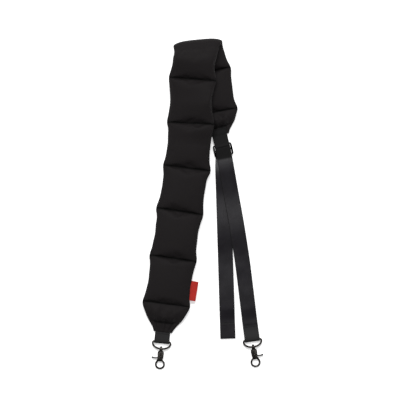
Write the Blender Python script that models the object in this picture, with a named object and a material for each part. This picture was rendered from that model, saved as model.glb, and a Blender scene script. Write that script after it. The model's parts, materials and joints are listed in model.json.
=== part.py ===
# Camera neck strap, lying folded in half on a flat surface and seen from above in its usual layout.
# A puffy quilted pad is folded over near one end. Its lower end holds a D-ring, its other end a slide,
# and one length of webbing runs from the second D-ring up round the slide and back as a free tail.
# Metres, +Z up. +Y points from the hooks to the fold, and the floor is z = 0.

import math

import bmesh
import bpy
from mathutils import Matrix, Vector

mm = 0.001

# Padded part
chamber_length = 74.7 * mm
pad_width = 79.5 * mm
pad_thickness = 18.0 * mm
seam_thickness = 3.6 * mm
edge_thickness = 2.6 * mm
side_scallop = 4.2 * mm
gather_depth = 0.7 * mm
taper_left_length = 47.5 * mm
taper_right_length = 39.0 * mm
fold_radius = 7.0 * mm
fold_lead = 9.2 * mm
fold_gap = 0.7 * mm
crease_rise_deg = 5.5

# Webbing
webbing_width = 25.0 * mm
webbing_thickness = 1.35 * mm
tab_left_length = 15.6 * mm
tab_right_length = 17.0 * mm
hook_leg_length = 317.5 * mm
tail_length = 311.0 * mm
turned_end = 25.0 * mm
floor_gap = 0.3 * mm
layer_gap = 0.35 * mm

# D-rings
ring_wire = 2.5 * mm
ring_inside = 26.5 * mm
ring_depth = 12.1 * mm
ring_corner = 3.0 * mm
ring_left_deg = -5.5
ring_right_deg = 8.0

# Three-bar slide
slide_width = 32.0 * mm
slide_length = 21.0 * mm
slide_bar = 2.5 * mm
slide_rail = 2.9 * mm
slide_thickness = 2.4 * mm
slide_corner = 4.0 * mm
slide_edge = 0.5 * mm
slide_deg = 13.0

# Snap hooks
eye_hole = 4.4 * mm
eye_outer = 9.0 * mm
eye_breadth = 6.6 * mm
stem_diameter = 3.2 * mm
stem_head_diameter = 4.8 * mm
barrel_width = 10.4 * mm
barrel_thickness = 6.8 * mm
barrel_start = 3.5 * mm
barrel_end = 20.5 * mm
stem_head_depth = 1.6 * mm
stem_head_length = 1.5 * mm
stem_head_bevel = 0.4 * mm
claw_centre = 25.6 * mm
claw_hole = 10.6 * mm
claw_wire = 3.1 * mm
claw_tip_deg = 98.0
claw_root_deg = 48.0
gate_root_deg = 30.0
gate_end_deg = 116.0
gate_reach = 16.7 * mm
gate_width = 2.8 * mm
fork_back = 3.1 * mm
fork_front = 4.1 * mm
fork_wall = 2.7 * mm
lever_thickness = 1.9 * mm
lever_reach = 14.3 * mm
lever_hub = 4.4 * mm
pivot_along = 12.4 * mm
pin_diameter = 1.8 * mm
hook_left_deg = -4.4
hook_right_deg = 8.5

# Label
label_length = 32.5 * mm
label_reach = 9.6 * mm
label_thickness = 1.0 * mm
label_start = 11.0 * mm
label_droop_deg = 8.0

# Clearances
fit_gap = 0.3 * mm
bar_clearance = 0.45 * mm

# Chambers from the left D-ring's end to the slide's end, before the pad is folded: the length in
# chamber lengths, the lean to the right in degrees, and the height of the pad's middle surface, in
# pad thicknesses, and its roll in degrees, first half way along the chamber and then at its far seam.
# The seam at the fold is skewed until it runs along the crease.
chambers = [
    dict(length=1.02, lean=9.0, mid_height=0.487, seam_height=0.43, mid_roll=0.0, seam_roll=0.0, skew=0.0),
    dict(length=1.05, lean=7.5, mid_height=0.487, seam_height=0.43, mid_roll=0.0, seam_roll=0.0, skew=0.0),
    dict(length=0.97, lean=10.0, mid_height=0.487, seam_height=0.46, mid_roll=0.0, seam_roll=1.0, skew=0.0),
    dict(length=0.99, lean=4.9, mid_height=0.62, seam_height=0.94, mid_roll=3.0, seam_roll=8.0, skew=0.0),
    dict(length=0.97, lean=1.2, mid_height=1.24, seam_height=1.30, mid_roll=11.0, seam_roll=6.0, skew=0.0),
    dict(length=0.86, lean=8.6, mid_height=1.66, seam_height=1.267, mid_roll=2.0, seam_roll=0.0, skew=14.1),
    dict(length=0.76, lean=7.0, mid_height=0.489, seam_height=0.44, mid_roll=0.0, seam_roll=0.0, skew=0.0),
    dict(length=0.90, lean=-3.2, mid_height=0.489, seam_height=0.42, mid_roll=0.0, seam_roll=0.0, skew=0.0),
]
chambers_before_fold = 6

# Stations along a chamber, in shares of its length, close together beside the seams
chamber_steps = [0.04, 0.12, 0.25, 0.42, 0.58, 0.75, 0.88, 0.96, 1.0]

# Tapered end from the last full seam out to the webbing: along in taper lengths, width in pad
# widths, thickness in pad thicknesses, height of the middle surface in pad thicknesses.
taper = [
    dict(along=0.00, width=1.00, thickness=0.200, height=0.43),
    dict(along=0.06, width=0.985, thickness=0.48, height=0.43),
    dict(along=0.18, width=0.945, thickness=0.68, height=0.40),
    dict(along=0.32, width=0.87, thickness=0.72, height=0.37),
    dict(along=0.47, width=0.78, thickness=0.60, height=0.32),
    dict(along=0.59, width=0.69, thickness=0.38, height=0.22),
    dict(along=0.65, width=0.63, thickness=0.20, height=0.16),
    dict(along=0.72, width=0.57, thickness=0.26, height=0.15),
    dict(along=0.86, width=0.44, thickness=0.24, height=0.14),
    dict(along=1.00, width=0.35, thickness=0.23, height=0.13),
]
taper_lean_left = 7.2
taper_lean_right = 2.0

# Lean of the two lengths of webbing below the slide: along in shares of the leg's length
hook_leg_lean = [
    dict(along=0.00, lean=13.0),
    dict(along=0.06, lean=10.0),
    dict(along=0.30, lean=10.2),
    dict(along=0.50, lean=9.0),
    dict(along=0.68, lean=6.8),
    dict(along=0.88, lean=7.0),
    dict(along=1.00, lean=8.0),
]
tail_lean = [
    dict(along=0.00, lean=13.0),
    dict(along=0.015, lean=-2.4),
    dict(along=0.07, lean=-2.4),
    dict(along=0.12, lean=1.8),
    dict(along=1.00, lean=1.7),
]
legs_part_at = 0.60

points_across = 14

# Barrel of a snap hook: along in shares of its length, width in barrel widths
barrel_profile = [
    dict(along=0.00, width=0.62),
    dict(along=0.04, width=0.86),
    dict(along=0.11, width=0.97),
    dict(along=0.24, width=1.00),
    dict(along=0.53, width=1.00),
    dict(along=0.76, width=0.88),
    dict(along=0.91, width=0.74),
    dict(along=1.00, width=0.58),
]

# Root of the claw inside the barrel: along from the barrel's start in shares of its length, beside
# the hook's centre line in barrel widths, wire in claw wires
claw_root = [
    dict(along=0.62, beside=0.298, wire=0.97),
    dict(along=0.79, beside=0.337, wire=1.10),
    dict(along=0.95, beside=0.423, wire=1.13),
]

# Thumb lever from the rivet to its tip: along the hook and out to the side in lever reaches, width
# and thickness in lever thicknesses
lever_arm = [
    dict(along=0.021, out=0.028, width=1.26, thickness=0.96),
    dict(along=0.140, out=0.252, width=1.06, thickness=0.96),
    dict(along=0.192, out=0.455, width=0.95, thickness=1.00),
    dict(along=0.203, out=0.664, width=0.95, thickness=1.00),
    dict(along=0.182, out=0.839, width=1.05, thickness=1.15),
    dict(along=0.133, out=1.000, width=1.32, thickness=1.35),
]

# Worked out from the sizes above
back_height = 0.489 * pad_thickness
fold_height = back_height + fold_radius
webbing_low = floor_gap + webbing_thickness / 2.0
layer_step = webbing_thickness + layer_gap
ring_height = floor_gap + webbing_thickness + bar_clearance + ring_wire / 2.0
slide_bar_round = math.hypot(slide_bar / 2.0, slide_thickness / 2.0 - slide_edge)
slide_height = floor_gap + webbing_thickness + bar_clearance + slide_bar_round
eye_height = eye_outer / 2.0 + floor_gap * 1.5
head_start = barrel_start + stem_head_depth
head_end = head_start + stem_head_length


def clear_scene():
    for old in list(bpy.data.objects):
        bpy.data.objects.remove(old, do_unlink=True)


def finish_material(name, colour, roughness, metallic):
    material = bpy.data.materials.new(name)
    material.use_nodes = True
    shader = material.node_tree.nodes["Principled BSDF"]
    shader.inputs["Base Color"].default_value = (*colour, 1.0)
    shader.inputs["Roughness"].default_value = roughness
    shader.inputs["Metallic"].default_value = metallic
    return material


def smooth_step(share):
    share = min(max(share, 0.0), 1.0)
    return share * share * (3.0 - 2.0 * share)


def look_up(rows, key, along, smooth=False):
    """Value of a table's column at a place between its rows."""
    if along <= rows[0]["along"]:
        return rows[0][key]
    for low, high in zip(rows, rows[1:]):
        if along <= high["along"]:
            share = (along - low["along"]) / (high["along"] - low["along"])
            if smooth:
                share = smooth_step(share)
            return low[key] + (high[key] - low[key]) * share
    return rows[-1][key]


def down_direction(lean_deg):
    """Plan direction of something that runs towards -Y and leans to +X."""
    lean = math.radians(lean_deg)
    return Vector((math.sin(lean), -math.cos(lean), 0.0))


def sideways(direction):
    """Level direction to the right of one that runs towards -Y."""
    return Vector((-direction.y, direction.x, 0.0))


def seat_matrix(point, lean_deg, pitch_deg=0.0):
    """Local x runs down the strap and dips by the pitch, y is to the right, z is up."""
    down = down_direction(lean_deg)
    right = sideways(down)
    pitch = math.radians(pitch_deg)
    x_axis = down * math.cos(pitch) + Vector((0.0, 0.0, -math.sin(pitch)))
    z_axis = down * math.sin(pitch) + Vector((0.0, 0.0, math.cos(pitch)))
    matrix = Matrix((x_axis, right, z_axis)).transposed().to_4x4()
    matrix.translation = point
    return matrix


def loft(rings, closed=False):
    """Bmesh skin through rings of points, with flat ends unless the rings close on themselves."""
    mesh = bmesh.new()
    rows = [[mesh.verts.new(point) for point in ring] for ring in rings]
    count = len(rows[0])
    last = len(rows) if closed else len(rows) - 1
    for index in range(last):
        row = rows[index]
        following = rows[(index + 1) % len(rows)]
        for step in range(count):
            after = (step + 1) % count
            mesh.faces.new((row[step], row[after], following[after], following[step]))
    if not closed:
        mesh.faces.new(list(reversed(rows[0])))
        mesh.faces.new(rows[-1])
    bmesh.ops.recalc_face_normals(mesh, faces=mesh.faces)
    return mesh


def make_object(name, mesh, material, matrix=None, sharp_deg=35.0):
    bmesh.ops.triangulate(mesh, faces=mesh.faces)
    data = bpy.data.meshes.new(name)
    mesh.to_mesh(data)
    mesh.free()
    data.materials.append(material)
    data.shade_smooth()
    data.set_sharp_from_angle(angle=math.radians(sharp_deg))
    made = bpy.data.objects.new(name, data)
    bpy.context.scene.collection.objects.link(made)
    if matrix is not None:
        made.matrix_world = matrix
    return made


def combine(body, tool, operation):
    """Join a tool to a body, or cut it out, and keep only the result."""
    step = body.modifiers.new("step", "BOOLEAN")
    step.operation = operation
    step.solver = "EXACT"
    step.object = tool
    bpy.context.view_layer.update()
    depsgraph = bpy.context.evaluated_depsgraph_get()
    result = bpy.data.meshes.new_from_object(body.evaluated_get(depsgraph), depsgraph=depsgraph)
    body.modifiers.clear()
    body.data = result
    bpy.data.objects.remove(tool, do_unlink=True)


# Pad


def chamber_swell(share):
    """How far a chamber has filled out at a share of its length, from 0 at a seam to 1."""
    return (1.0 - abs(2.0 * share - 1.0) ** 2.6) ** 0.55


def pad_stations():
    """Unfolded pad from the left end to the slide's end, one station for each cross-section."""
    half = pad_thickness / 2.0
    seam_half = seam_thickness / 2.0
    stations = []
    for row in reversed(taper):
        stations.append(dict(
            step=0.0, lean=taper_lean_left, half_width=row["width"] * pad_width / 2.0,
            half_height=row["thickness"] * half, height=row["height"] * pad_thickness, roll=0.0, skew=0.0))
    for index in range(1, len(taper)):
        change = taper[-index]["along"] - taper[-index - 1]["along"]
        stations[index]["step"] = change * taper_left_length
    stations[-1]["half_height"] = seam_half

    leans = [taper_lean_left] + [chamber["lean"] for chamber in chambers] + [taper_lean_right]
    start_height = taper[0]["height"]
    start_roll = 0.0
    start_skew = 0.0
    crease = None
    for index, chamber in enumerate(chambers):
        length = chamber["length"] * chamber_length
        heights = [
            dict(along=0.0, height=start_height, roll=start_roll),
            dict(along=0.5, height=chamber["mid_height"], roll=chamber["mid_roll"]),
            dict(along=1.0, height=chamber["seam_height"], roll=chamber["seam_roll"]),
        ]
        before = 0.0
        for share in chamber_steps:
            middle = (share + before) / 2.0
            if middle < 0.5:
                lean = leans[index + 1] + (leans[index] - leans[index + 1]) * (0.5 - middle)
            else:
                lean = leans[index + 1] + (leans[index + 2] - leans[index + 1]) * (middle - 0.5)
            swell = chamber_swell(share) if share < 1.0 else 0.0
            scallop = side_scallop * math.sin(math.pi * share) ** 0.7 if share < 1.0 else 0.0
            stations.append(dict(
                step=(share - before) * length, lean=lean,
                half_width=pad_width / 2.0 - scallop,
                half_height=seam_half + (half - seam_half) * swell,
                height=look_up(heights, "height", share, smooth=True) * pad_thickness,
                roll=look_up(heights, "roll", share, smooth=True),
                skew=start_skew + (chamber["skew"] - start_skew) * share))
            before = share
        start_height = chamber["seam_height"]
        start_roll = chamber["seam_roll"]
        start_skew = chamber["skew"]
        if index == chambers_before_fold - 1:
            crease = len(stations) - 1
    for low, row in zip(taper, taper[1:]):
        stations.append(dict(
            step=(row["along"] - low["along"]) * taper_right_length, lean=taper_lean_right,
            half_width=row["width"] * pad_width / 2.0, half_height=row["thickness"] * half,
            height=row["height"] * pad_thickness, roll=0.0, skew=0.0))

    place = Vector((0.0, 0.0))
    for station in stations:
        lean = math.radians(station["lean"])
        station["up"] = Vector((math.sin(lean), math.cos(lean)))
        place = place + station["up"] * station["step"]
        station["place"] = place
    return stations, crease


def fold_point(flat, crease_point, normal, along_crease):
    """Place of an unfolded plan point after the fold: point, outward normal, distance past."""
    past = (flat - crease_point).dot(normal)
    beside = (flat - crease_point).dot(along_crease)
    turn = math.pi * fold_radius
    if past <= 0.0:
        reach, rise, angle = past, fold_radius, 0.0
    elif past < turn:
        angle = past / fold_radius
        reach = fold_radius * math.sin(angle)
        rise = fold_radius * math.cos(angle)
    else:
        reach, rise, angle = turn - past, -fold_radius, math.pi
    plan = crease_point + along_crease * beside + normal * reach
    outward = Vector((normal.x * math.sin(angle), normal.y * math.sin(angle), math.cos(angle)))
    return Vector((plan.x, plan.y, fold_height + rise)), outward, past


def pad_section(station, fold):
    """Ring of points round the pad at one station: over the top, then back underneath."""
    crease_point, normal, along_crease, turn = fold
    skew = math.radians(station["skew"])
    right = Vector((station["up"].y, -station["up"].x))
    right = (right + station["up"] * math.tan(skew))
    edge_half = edge_thickness / 2.0
    upper = []
    lower = []
    for index in range(points_across + 1):
        across = -math.cos(math.pi * index / points_across)
        flat = station["place"] + right * (across * station["half_width"])
        point, outward, past = fold_point(flat, crease_point, normal, along_crease)
        middle = min(edge_half, station["half_height"])
        crown = (1.0 - abs(across) ** 2.4) ** 0.7 if abs(across) < 0.999 else 0.0
        swell = middle + (station["half_height"] - middle) * crown
        gather = gather_depth * math.cos(7.0 * math.pi * across) * crown * station["gather"]
        if past <= 0.0:
            tilt = math.tan(math.radians(station["roll"])) * across * station["half_width"]
            lift = station["height"] + tilt - (fold_height + fold_radius)
            lift = lift * smooth_step(-past / fold_lead)
        elif past >= turn:
            lift = (station["height"] - back_height) * smooth_step((past - turn) / fold_lead)
        else:
            lift = 0.0
        outside_turn = max(-past, past - turn, 0.0)
        inner = min(swell, fold_radius - fold_gap + 0.12 * outside_turn)
        point = point + Vector((0.0, 0.0, lift))
        top = point + outward * (swell + gather)
        bottom = point - outward * inner
        top.z = max(top.z, 0.0)
        bottom.z = max(bottom.z, 0.0)
        upper.append(top)
        lower.append(bottom)
    return upper + list(reversed(lower))


def build_pad(cloth):
    stations, seam = pad_stations()
    for index, station in enumerate(stations):
        nearest = min(
            abs(index - other) for other, row in enumerate(stations)
            if row["half_height"] <= seam_thickness / 2.0 + 1e-9)
        station["gather"] = 1.0 if nearest in (1, 2) else 0.0
    rise = math.radians(crease_rise_deg)
    normal = Vector((-math.sin(rise), math.cos(rise)))
    along_crease = Vector((math.cos(rise), math.sin(rise)))
    crease_point = stations[seam]["place"] - stations[seam]["up"] * fold_lead
    fold = (crease_point, normal, along_crease, math.pi * fold_radius)
    rings = [pad_section(station, fold) for station in stations]
    make_object("pad", loft(rings), cloth, sharp_deg=60.0)

    ends = []
    for ring, beside in ((rings[0], rings[1]), (rings[-1], rings[-2])):
        centre = sum((point for point in ring), Vector()) / len(ring)
        inner = sum((point for point in beside), Vector()) / len(beside)
        away = centre - inner
        ends.append((Vector((centre.x, centre.y, 0.0)), math.degrees(math.atan2(away.x, -away.y))))
    return ends, rings


# Webbing


def ribbon_section(point, normal, right, width):
    """Four corners of the webbing's cross-section at one point of its path."""
    half = normal * (webbing_thickness / 2.0)
    side = right * (width / 2.0)
    return [point - side - half, point + side - half, point + side + half, point - side + half]


def ribbon(path, width=webbing_width):
    """Webbing through path points given as (place, sideways direction)."""
    rings = []
    for index, (point, right) in enumerate(path):
        before = path[max(index - 1, 0)][0]
        after = path[min(index + 1, len(path) - 1)][0]
        forward = (after - before).normalized()
        normal = right.cross(forward).normalized()
        rings.append(ribbon_section(point, normal, right, width))
    return loft(rings)


def bar_turn(centre, down, right, radius, start_deg, end_deg, steps=8):
    """Path points round a bar, counted from straight up towards the strap's lower end."""
    points = []
    for index in range(steps + 1):
        angle = math.radians(start_deg + (end_deg - start_deg) * index / steps)
        offset = down * (math.sin(angle) * radius) + Vector((0.0, 0.0, math.cos(angle) * radius))
        points.append((centre + offset, right))
    return points


def tab_path(start, pad_lean_deg, lean_deg, length, bar_height, bar_radius):
    """Loop of webbing from a pad end, over a bar and back underneath."""
    down = down_direction(lean_deg)
    skew = math.radians(abs(lean_deg - pad_lean_deg))
    right = sideways(down)
    radius = bar_radius + bar_clearance + webbing_thickness / 2.0
    centre = start + down * length + Vector((0.0, 0.0, bar_height))
    near = start + down * (fit_gap + webbing_width / 2.0 * math.sin(skew))
    upper = near + Vector((0.0, 0.0, webbing_low + layer_step))
    lower = near + Vector((0.0, 0.0, webbing_low))
    top = centre + Vector((0.0, 0.0, radius))
    path = [(upper, right)]
    for share in (0.25, 0.5, 0.75):
        point = upper.lerp(top, share)
        point.z = upper.z + (top.z - upper.z) * smooth_step(share)
        path.append((point, right))
    path += bar_turn(centre, down, right, radius, 0.0, 180.0)
    bottom = centre - Vector((0.0, 0.0, radius))
    for share in (0.25, 0.5, 0.75, 1.0):
        point = bottom.lerp(lower, share)
        path.append((point, right))
    return path, centre


def leg_points(start, leans, length, heights, steps):
    """Level run of webbing from the slide's middle bar, at the heights that a table gives."""
    points = []
    place = Vector((start.x, start.y, 0.0))
    for index in range(steps + 1):
        share = index / steps
        if index:
            middle = (index - 0.5) / steps
            place = place + down_direction(look_up(leans, "lean", middle)) * (length / steps)
        right = sideways(down_direction(look_up(leans, "lean", share)))
        height = look_up(heights, "height", share, smooth=True)
        points.append((Vector((place.x, place.y, height)), right))
    return points


def build_strap(slide_centre, web):
    """One length of webbing: round the right D-ring, up to the slide and back down as the tail."""
    bar_radius = slide_bar_round + bar_clearance + webbing_thickness / 2.0
    over_bar = slide_height + bar_radius
    on_tail = webbing_low + layer_step
    ring_radius = ring_wire / 2.0 + bar_clearance + webbing_thickness / 2.0
    over_ring = ring_height + ring_radius
    bottom_bar = slide_length / 2.0 + 4.0 * mm
    hook_heights = [
        dict(along=0.0, height=over_bar),
        dict(along=bottom_bar / hook_leg_length, height=over_bar),
        dict(along=bottom_bar / hook_leg_length + 0.10, height=on_tail),
        dict(along=legs_part_at, height=on_tail),
        dict(along=legs_part_at + 0.12, height=webbing_low),
        dict(along=1.0 - (turned_end + 9.0 * mm) / hook_leg_length, height=webbing_low),
        dict(along=1.0 - turned_end / hook_leg_length, height=on_tail),
        dict(along=1.0 - 13.0 * mm / hook_leg_length, height=on_tail),
        dict(along=1.0, height=over_ring),
    ]
    flat = [dict(along=0.0, height=webbing_low), dict(along=1.0, height=webbing_low)]
    hook_leg = leg_points(slide_centre, hook_leg_lean, hook_leg_length, hook_heights, 44)
    tail = leg_points(slide_centre, tail_lean, tail_length, flat, 48)

    ring_down = down_direction(ring_right_deg)
    ring_right = sideways(ring_down)
    end = hook_leg[-1][0]
    ring_bar = Vector((end.x, end.y, ring_height))
    path = []
    for share in (1.0, 0.75, 0.5, 0.25):
        point = ring_bar - ring_down * (turned_end * share)
        path.append((Vector((point.x, point.y, webbing_low)), ring_right))
    path += bar_turn(ring_bar, ring_down, ring_right, ring_radius, 180.0, 0.0)
    path += list(reversed(hook_leg))[1:-1]
    slide_down = down_direction(slide_deg)
    slide_bar_point = Vector((slide_centre.x, slide_centre.y, slide_height))
    path += bar_turn(slide_bar_point, slide_down, sideways(slide_down), bar_radius, 0.0, -180.0)
    path += tail[1:]

    tail_down = down_direction(tail_lean[-1]["lean"])
    tail_right = sideways(tail_down)
    fold_centre = tail[-1][0] + Vector((0.0, 0.0, layer_step / 2.0))
    path += bar_turn(fold_centre, tail_down, tail_right, layer_step / 2.0, 150.0, 0.0, steps=5)
    for share in (0.3, 0.65, 1.0):
        point = fold_centre - tail_down * (turned_end * share)
        path.append((point + Vector((0.0, 0.0, layer_step / 2.0)), tail_right))
    make_object("strap_webbing", ribbon(path), web)
    return ring_bar


# Metal pieces


def tube(path, radius, closed=False, sides=10):
    """Round wire through points, with a radius for each of them or one for all."""
    rings = []
    count = len(path)
    up = Vector((0.0, 0.0, 1.0))
    for index, point in enumerate(path):
        before = path[index - 1] if closed or index else point
        after = path[(index + 1) % count] if closed or index < count - 1 else point
        forward = (after - before).normalized()
        side = up.cross(forward).normalized()
        top = forward.cross(side)
        size = radius[index] if isinstance(radius, list) else radius
        ring = []
        for step in range(sides):
            angle = 2.0 * math.pi * (step + 0.5) / sides
            ring.append(point + side * (math.cos(angle) * size) + top * (math.sin(angle) * size))
        rings.append(ring)
    return loft(rings, closed)


def d_ring(name, bar_point, lean_deg, metal):
    """D-shaped ring: local x from the straight bar to the bow, y along the bar."""
    half_wide = (ring_inside + ring_wire) / 2.0
    bow_deep = ring_depth - ring_corner
    corner = []
    for index in range(1, 4):
        angle = math.radians(90.0 * index / 4.0)
        corner.append((ring_corner * (1.0 - math.cos(angle)),
                       half_wide - ring_corner * (1.0 - math.sin(angle))))
    path = [Vector((0.0, side * (half_wide - ring_corner), 0.0)) for side in (-1.0, 0.0, 1.0)]
    path += [Vector((along, beside, 0.0)) for along, beside in corner]
    for index in range(17):
        angle = math.radians(180.0 * index / 16.0)
        path.append(Vector((
            ring_corner + bow_deep * math.sin(angle), half_wide * math.cos(angle), 0.0)))
    path += [Vector((along, -beside, 0.0)) for along, beside in reversed(corner)]
    bow_height = eye_height - 0.55 * mm
    pitch = -math.degrees(math.asin((bow_height - ring_height) / ring_depth))
    seat = seat_matrix(bar_point, lean_deg, pitch)
    make_object(name, tube(path, ring_wire / 2.0, closed=True, sides=8), metal, seat)
    bow = seat @ Vector((ring_depth, 0.0, 0.0))
    return Vector((bow.x, bow.y, eye_height))


def box(size, centre):
    mesh = bmesh.new()
    bmesh.ops.create_cube(mesh, size=1.0)
    bmesh.ops.scale(mesh, vec=size, verts=mesh.verts)
    bmesh.ops.translate(mesh, vec=centre, verts=mesh.verts)
    return mesh


def build_slide(centre, metal):
    """Flat frame with three cross bars and two slots."""
    outline = []
    for sign_x, sign_y, start in ((1, 1, 0.0), (-1, 1, 90.0), (-1, -1, 180.0), (1, -1, 270.0)):
        for step in range(5):
            angle = math.radians(start + 90.0 * step / 4.0)
            outline.append((
                sign_x * (slide_length / 2.0 - slide_corner) + slide_corner * math.cos(angle),
                sign_y * (slide_width / 2.0 - slide_corner) + slide_corner * math.sin(angle)))
    half = slide_thickness / 2.0
    rings = [[Vector((x, y, height)) for x, y in outline] for height in (-half, half)]
    seat = seat_matrix(Vector((centre.x, centre.y, slide_height)), slide_deg)
    frame = make_object("slide", loft(rings), metal)
    slot_long = slide_width - 2.0 * slide_rail
    slot_wide = (slide_length - 3.0 * slide_bar) / 2.0
    for sign in (-1.0, 1.0):
        middle = sign * (slide_bar / 2.0 + slot_wide / 2.0)
        size = (slot_wide, slot_long, slide_thickness * 3.0)
        slot = make_object("slot", box(size, (middle, 0.0, 0.0)), metal)
        combine(frame, slot, "DIFFERENCE")
    edges = frame.modifiers.new("edges", "BEVEL")
    edges.width = slide_edge
    edges.segments = 1
    edges.limit_method = "ANGLE"
    edges.angle_limit = math.radians(50.0)
    frame.matrix_world = seat


def turned(profile, sides, flatten=1.0):
    """Solid turned about local x from (along, radius) pairs, and flattened in z."""
    rings = []
    for along, radius in profile:
        ring = []
        for step in range(sides):
            angle = 2.0 * math.pi * (step + 0.5) / sides
            ring.append(Vector((along, radius * math.cos(angle), flatten * radius * math.sin(angle))))
        rings.append(ring)
    return loft(rings)


def cross_pin(along, beside, radius, length, sides=12):
    """Round bar along local z."""
    mesh = bmesh.new()
    bmesh.ops.create_cone(mesh, cap_ends=True, segments=sides, radius1=radius, radius2=radius,
                          depth=length)
    bmesh.ops.translate(mesh, vec=(along, beside, 0.0), verts=mesh.verts)
    return mesh


def swivel_eye(name, metal):
    """Cast eye round the D-ring's bow, with a headed stem that turns in the barrel."""
    outer = eye_outer / 2.0
    hole = eye_hole / 2.0
    rings = []
    for share in (-1.0, -0.85, 0.0, 0.85, 1.0):
        inset = 0.5 * mm if abs(share) == 1.0 else 0.0
        ring = []
        for step in range(20):
            angle = 2.0 * math.pi * step / 20.0
            along = (outer - inset) * math.cos(angle)
            breadth = eye_breadth / 2.0 * (0.72 + 0.28 * along / outer)
            ring.append(Vector((along, share * breadth, (outer - inset) * math.sin(angle))))
        rings.append(ring)
    eye = make_object(name, loft(rings), metal)
    stem_radius = stem_diameter / 2.0
    head_radius = stem_head_diameter / 2.0
    root = hole + 0.8 * mm
    stem = turned([
        (root, stem_radius), (head_start, stem_radius),
        (head_start + stem_head_bevel, head_radius), (head_end, head_radius)], 12)
    combine(eye, make_object("stem", stem, metal), "UNION")
    waist = cross_hole(hole, metal)
    combine(eye, waist, "DIFFERENCE")
    shoulder = make_object("shoulder", box(
        (eye_outer, eye_outer, eye_outer * 1.5),
        (barrel_start - fit_gap + eye_outer / 2.0, 0.0, 0.0)), metal)
    keep = make_object("keep", turned([
        (barrel_start - 2.0 * mm, stem_radius), (head_end + 1.0 * mm, stem_radius)], 12), metal)
    keep_head = make_object("keep_head", turned([
        (head_start, stem_radius * 0.98), (head_start + stem_head_bevel, head_radius),
        (head_end + 1.0 * mm, head_radius)], 12), metal)
    combine(keep, keep_head, "UNION")
    combine(shoulder, keep, "DIFFERENCE")
    combine(eye, shoulder, "DIFFERENCE")
    return eye


def cross_hole(radius, metal):
    """Round cutter through the eye, along local y."""
    mesh = bmesh.new()
    bmesh.ops.create_cone(mesh, cap_ends=True, segments=20, radius1=radius, radius2=radius,
                          depth=eye_breadth * 3.0, matrix=Matrix.Rotation(math.radians(90.0), 4, "X"))
    return make_object("hole", mesh, metal)


def claw_point(angle_deg, side):
    """Point on the claw's ring, turned from the barrel's end away from the lever's side."""
    angle = math.radians(angle_deg)
    radius = (claw_hole + claw_wire) / 2.0
    return Vector((claw_centre - radius * math.cos(angle), -side * radius * math.sin(angle), 0.0))


def swing_room(side, metal):
    """Cutter for the space that the gate's end swings through, about the rivet."""
    radius = gate_reach + fit_gap
    outline = []
    for reach, degs in ((radius, range(-3, 48, 3)), (radius * 0.7, range(45, -6, -3))):
        for deg in degs:
            angle = math.radians(deg)
            outline.append((pivot_along + reach * math.cos(angle), -side * reach * math.sin(angle)))
    rings = [[Vector((x, y, z)) for x, y in outline] for z in (-claw_wire, claw_wire)]
    return make_object("swing_room", loft(rings), metal)


def hook_body(name, side, metal):
    """Barrel with a fork for the lever, and the fixed claw on the lever's side."""
    length = barrel_end - barrel_start
    profile = [
        (barrel_start + row["along"] * length, row["width"] * barrel_width / 2.0)
        for row in barrel_profile]
    body = make_object(name, turned(profile, 16, barrel_thickness / barrel_width), metal)
    path = [
        Vector((barrel_start + row["along"] * length, side * row["beside"] * barrel_width, 0.0))
        for row in claw_root]
    sizes = [row["wire"] * claw_wire / 2.0 for row in claw_root]
    steps = 18
    for index in range(steps + 1):
        angle = -claw_root_deg - (360.0 - claw_root_deg - claw_tip_deg) * index / steps
        path.append(claw_point(angle, side))
        sizes.append(claw_wire / 2.0 * (1.06 if index < 3 else 1.0))
    claw = make_object("claw", tube(path, sizes, sides=10), metal)
    combine(claw, swing_room(side, metal), "DIFFERENCE")
    combine(body, claw, "UNION")

    slot_half = lever_thickness / 2.0 + fit_gap
    outer = barrel_width
    back = pivot_along - fork_back
    front = pivot_along + fork_front
    past = barrel_end + claw_wire / 2.0
    outline = [
        (back, side * outer), (back, -side * outer), (past, -side * outer),
        (past, side * fork_wall), (front, side * fork_wall), (front, side * outer)]
    rings = [[Vector((x, y, z)) for x, y in outline] for z in (-slot_half, slot_half)]
    combine(body, make_object("fork", loft(rings), metal), "DIFFERENCE")

    cavity = turned([
        (barrel_start - 1.0 * mm, stem_diameter / 2.0 + fit_gap),
        (head_start - fit_gap, stem_diameter / 2.0 + fit_gap),
        (head_start + stem_head_bevel - fit_gap, stem_head_diameter / 2.0 + fit_gap),
        (head_end + fit_gap, stem_head_diameter / 2.0 + fit_gap)], 12)
    combine(body, make_object("cavity", cavity, metal), "DIFFERENCE")
    hole = cross_pin(pivot_along, 0.0, pin_diameter / 2.0 + fit_gap, barrel_thickness * 2.0)
    combine(body, make_object("pin_hole", hole, metal), "DIFFERENCE")
    return body


def flat_strip(points, half_widths, half_thicknesses):
    """Flat bar in the hook's plane through points, with a width and a thickness at each."""
    rings = []
    for index, point in enumerate(points):
        before = points[max(index - 1, 0)]
        after = points[min(index + 1, len(points) - 1)]
        forward = (after - before).normalized()
        beside = Vector((-forward.y, forward.x, 0.0)) * half_widths[index]
        height = half_thicknesses[index]
        bevel = 0.3
        ring = []
        for wide, tall in ((-1, -1 + bevel), (-1 + bevel, -1), (1 - bevel, -1), (1, -1 + bevel),
                           (1, 1 - bevel), (1 - bevel, 1), (-1 + bevel, 1), (-1, 1 - bevel)):
            ring.append(point + beside * wide + Vector((0.0, 0.0, height * tall)))
        rings.append(ring)
    return loft(rings)


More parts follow.
